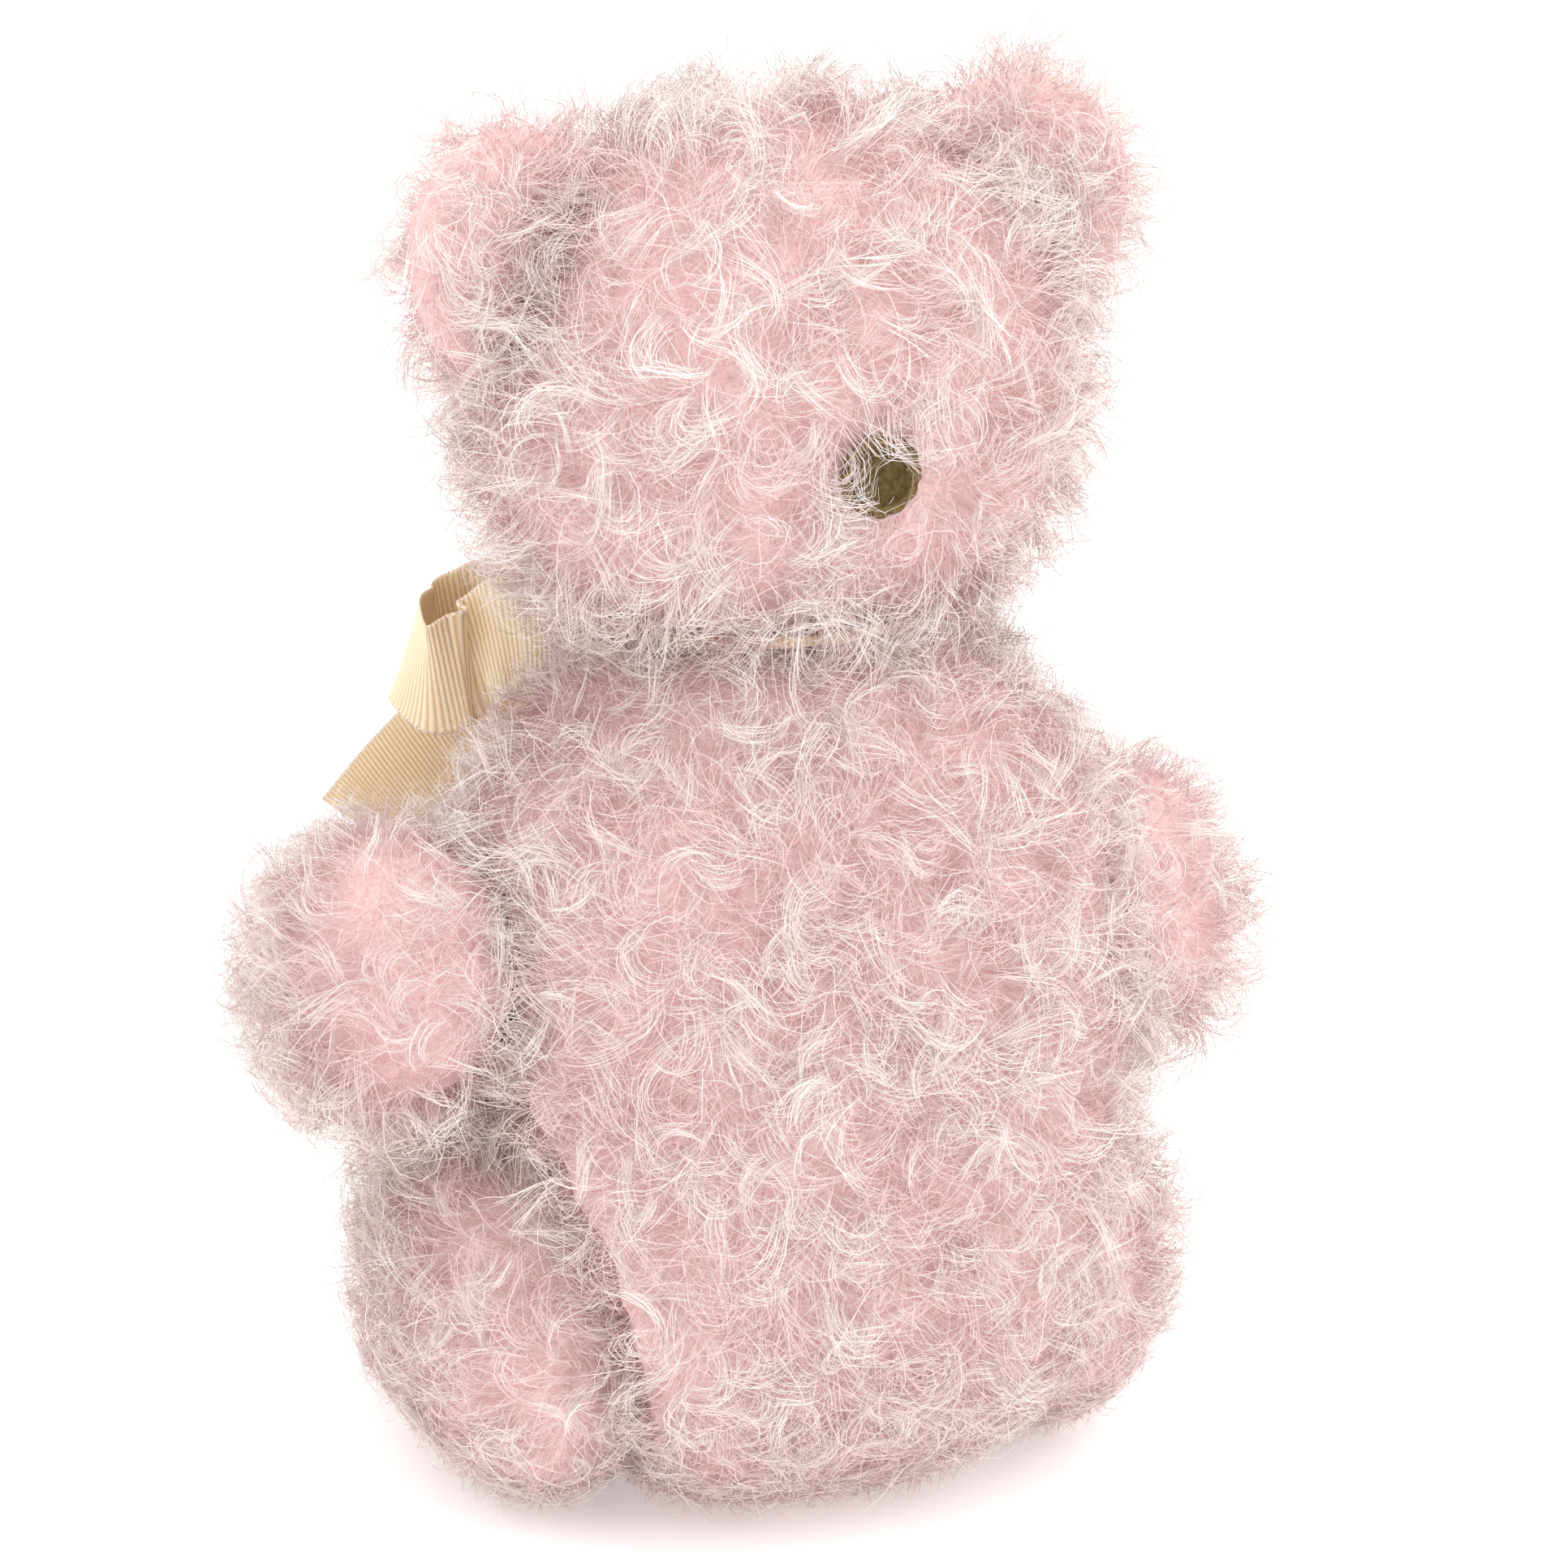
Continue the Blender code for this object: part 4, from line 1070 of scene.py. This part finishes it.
def make_button():
    """A plain antique button: scalloped rim, sunk ring and a low domed middle."""
    points = vertices_of(NODES["button"].data)
    out = face_of_button(points)
    top = points[((points @ out) > (points @ out).max() - 0.25 * MM)]
    middle = top.mean(0)
    flat = (points - middle) - ((points - middle) @ out)[:, None] * out
    radius = np.linalg.norm(flat, axis=1).max()
    first = unit(np.cross(out, [0.0, 0.0, 1.0]))
    second = np.cross(out, first)
    steps = BUTTON_STEPS
    turn = np.linspace(0, 2 * math.pi, steps, endpoint=False)
    lobes = np.abs(np.cos(SCALLOPS * turn / 2))
    rings = []
    for share, height in BUTTON_PROFILE[1:-1]:
        reach = radius * (share + ramp((share - 0.72) / 0.2) * (0.045 * lobes - 0.03))
        notch = -0.28 * ramp((share - 0.78) / 0.15) * (1 - lobes) ** 2
        rise = (height + notch) * MM
        rings.append(middle + first * (reach * np.cos(turn))[:, None]
                     + second * (reach * np.sin(turn))[:, None] + out * rise[:, None])
    points = np.vstack(rings)
    index = np.arange(len(points)).reshape(len(rings), steps)
    after = np.roll(index, -1, axis=1)
    quads = np.stack([index[:-1], index[1:], after[1:], after[:-1]], -1).reshape(-1, 4)
    bm = bmesh.new()
    corners = [bm.verts.new(point) for point in points]
    for quad in quads:
        bm.faces.new([corners[i] for i in quad])
    for ring, (_, height) in ((index[0], BUTTON_PROFILE[0]), (index[-1], BUTTON_PROFILE[-1])):
        tip = bm.verts.new(middle + out * height * MM)
        for i in range(steps):
            bm.faces.new((corners[ring[i]], corners[ring[(i + 1) % steps]], tip))
    bmesh.ops.recalc_face_normals(bm, faces=bm.faces)
    mesh = bpy.data.meshes.new("brass_button")
    bm.to_mesh(mesh)
    bm.free()
    mesh.shade_smooth()
    made = new_object("brass_button", mesh, BRASS)
    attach(made, body_name("button"))
    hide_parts("button")
    return middle, out


def face_of_button(points):
    """The button's outward direction: from the tip of its post to its face."""
    low, high = points[:, 1].min(), points[:, 1].max()
    tip = points[points[:, 1] < low + 0.6 * MM].mean(0)
    face = points[np.abs(points[:, 1] - high) < 2.2 * MM].mean(0)
    return unit(face - tip)


def outward_at(node):
    """The node's middle, and the head's outward direction there."""
    middle = middle_of(node)
    return middle, np.array(HEAD.find_nearest(middle.tolist())[1])


def make_nose():
    """The nose, with upright rows of satin stitches."""
    stitch = 0.84 * MM
    nose = reworked("nose", "stitched_nose", 0.45 * MM, YARN,
                    lambda p: 0.22 * MM * (np.abs(np.cos(p[:, 0] * math.pi / stitch)) - 0.3))


def make_pads():
    """Felt pads with a matted surface."""
    fuzz = Waves(9, 1.6 * MM)
    broad = Waves(10, 9 * MM)
    for node in ("left_paw_pad", "right_paw_pad", "left_foot_pad", "right_foot_pad"):
        pad = reworked(node, node.replace("_pad", "_felt"), 0.7 * MM, FELT,
                       lambda p: 0.05 * MM * fuzz.at(p) + 0.10 * MM * broad.at(p))


def make_stuffings():
    """The stuffing in each cover, in rough lumps of fibre."""
    lumps, fine = Waves(11, 14 * MM), Waves(12, 5 * MM)
    for node in [name for name in NODES if name.endswith("_stuffing")]:
        filling = reworked(node, node.replace("_stuffing", "_filling"), 3 * MM, STUFFING,
                           lambda p: -0.5 * MM + 0.35 * MM * lumps.at(p) + 0.15 * MM * fine.at(p))


def dress_hardware():
    """Better materials on the CAD nodes that keep their own shape."""
    for name, node in NODES.items():
        if name.endswith("_disc"):
            node.material_slots[0].material = FIBREBOARD
        elif name.endswith(("_washer", "_pin", "_shank")):
            node.material_slots[0].material = STEEL
        elif name.endswith("_eye"):
            node.material_slots[0].material = GLASS
        elif name.startswith("mouth_"):
            node.material_slots[0].material = YARN


# ---------------------------------------------------------------- floor, light and camera


def make_floor():
    bm = bmesh.new()
    bmesh.ops.create_grid(bm, x_segments=8, y_segments=8, size=8)
    mesh = bpy.data.meshes.new("floor")
    bm.to_mesh(mesh)
    bm.free()
    graph = Graph("pale_floor", 0.9)
    grain = graph.noise(12, 3.0, 0.5)
    graph.base(graph.colours(grain, (0.3, (0.93, 0.925, 0.925)), (0.7, (0.95, 0.945, 0.945))))
    graph.shader.inputs["Emission Color"].default_value = (1.0, 0.985, 0.985, 1)
    graph.shader.inputs["Emission Strength"].default_value = FLOOR_GLOW
    floor = new_object("floor", mesh, graph.material)


def make_light():
    world = bpy.data.worlds.new("studio")
    bpy.context.scene.world = world
    world.use_nodes = True
    background = world.node_tree.nodes["Background"]
    background.inputs["Color"].default_value = (1.0, 0.99, 0.99, 1)
    background.inputs["Strength"].default_value = 1.15
    towards = camera_direction()
    aside = Vector((math.cos(CAMERA_AZIMUTH), math.sin(CAMERA_AZIMUTH), 0))
    softbox("top_light", towards * 0.45 + aside * 0.1 + Vector((0, 0, 1.3)), 1.4, 8)
    softbox("side_light", towards * 0.8 + aside * 0.8 + Vector((0, 0, 0.7)), 1.0, 3)


def softbox(name, place, size, power):
    lamp = bpy.data.lights.new(name, "AREA")
    lamp.shape = "SQUARE"
    lamp.size = size
    lamp.energy = power
    obj = link(bpy.data.objects.new(name, lamp))
    obj.location = place
    obj.rotation_euler = (place - CAMERA_TARGET).to_track_quat("Z", "Y").to_euler()


def camera_direction():
    flat = math.cos(CAMERA_ELEVATION)
    return Vector((math.sin(CAMERA_AZIMUTH) * flat, -math.cos(CAMERA_AZIMUTH) * flat,
                   math.sin(CAMERA_ELEVATION)))


def make_camera():
    data = bpy.data.cameras.new("camera")
    data.lens = CAMERA_LENS
    data.sensor_width = SENSOR
    data.clip_end = 60
    camera = link(bpy.data.objects.new("camera", data))
    camera.location = CAMERA_TARGET + camera_direction() * CAMERA_DISTANCE
    camera.rotation_euler = camera_direction().to_track_quat("Z", "Y").to_euler()
    bpy.context.scene.camera = camera
    bpy.context.scene.view_settings.view_transform = "Standard"


# ---------------------------------------------------------------- build


def face_clearings():
    """Places on the head that the pile leaves free: (middle, outward axis, radius)."""
    found = []
    for node, radius in (("left_eye", 6.5), ("right_eye", 6.5), ("nose", 8.5),
                         ("mouth_upright", 3.0)):
        middle, out = outward_at(node)
        found.append((middle, out, radius * MM))
    return found


def beside(points, middle, near, fade, least):
    """1 away from middle, falling to least within near of it."""
    away = np.linalg.norm(points - middle, axis=1)
    return least + (1 - least) * ramp((away - near) / fade)


def pile_lengths():
    """For each cover, how long its pile is at a point, as a share of PILE_LENGTH."""
    nose = middle_of("nose")
    eyes = [middle_of(side + "_eye") for side in ("left", "right")]

    def on_body(points):
        return beside(points, NEAR_BOW, 10 * MM, 18 * MM, 0.45)

    def on_head(points):
        muzzle = ramp((np.linalg.norm(points - nose, axis=1) - 20 * MM) / (26 * MM))
        share = 0.34 + 0.70 * muzzle
        share = share * on_body(points)
        share = share * beside(points, button_middle, 5 * MM, 12 * MM, 0.35)
        for eye in eyes:
            share = share * beside(points, eye, 7 * MM, 14 * MM, 0.45)
        return share

    def even(share):
        return lambda points: np.full(len(points), share)

    def on_arm(points):
        """Short at the shoulder, full below it."""
        return 0.74 + 0.80 * ramp((0.128 - points[:, 2]) / 0.05)

    lengths = {node: even(1.0) for node in COVERS}
    lengths["head_cover"] = on_head
    lengths["body_cover"] = on_body
    lengths["left_ear"] = lengths["right_ear"] = even(0.82)
    lengths["left_arm_cover"] = lengths["right_arm_cover"] = on_arm
    return lengths


make_camera()
make_light()
make_floor()
backings = make_backings()
button_middle, button_out = make_button()
clearings = face_clearings() + [(button_middle, button_out, BUTTON_CLEARING)]
lengths = pile_lengths()
for node, backing in backings.items():
    crowd = EAR_CROWD if "ear" in node else 1.0
    make_pile(node, backing, crowd, lengths[node], clearings if node == "head_cover" else ())
make_bow()
make_nose()
make_pads()
make_stuffings()
dress_hardware()
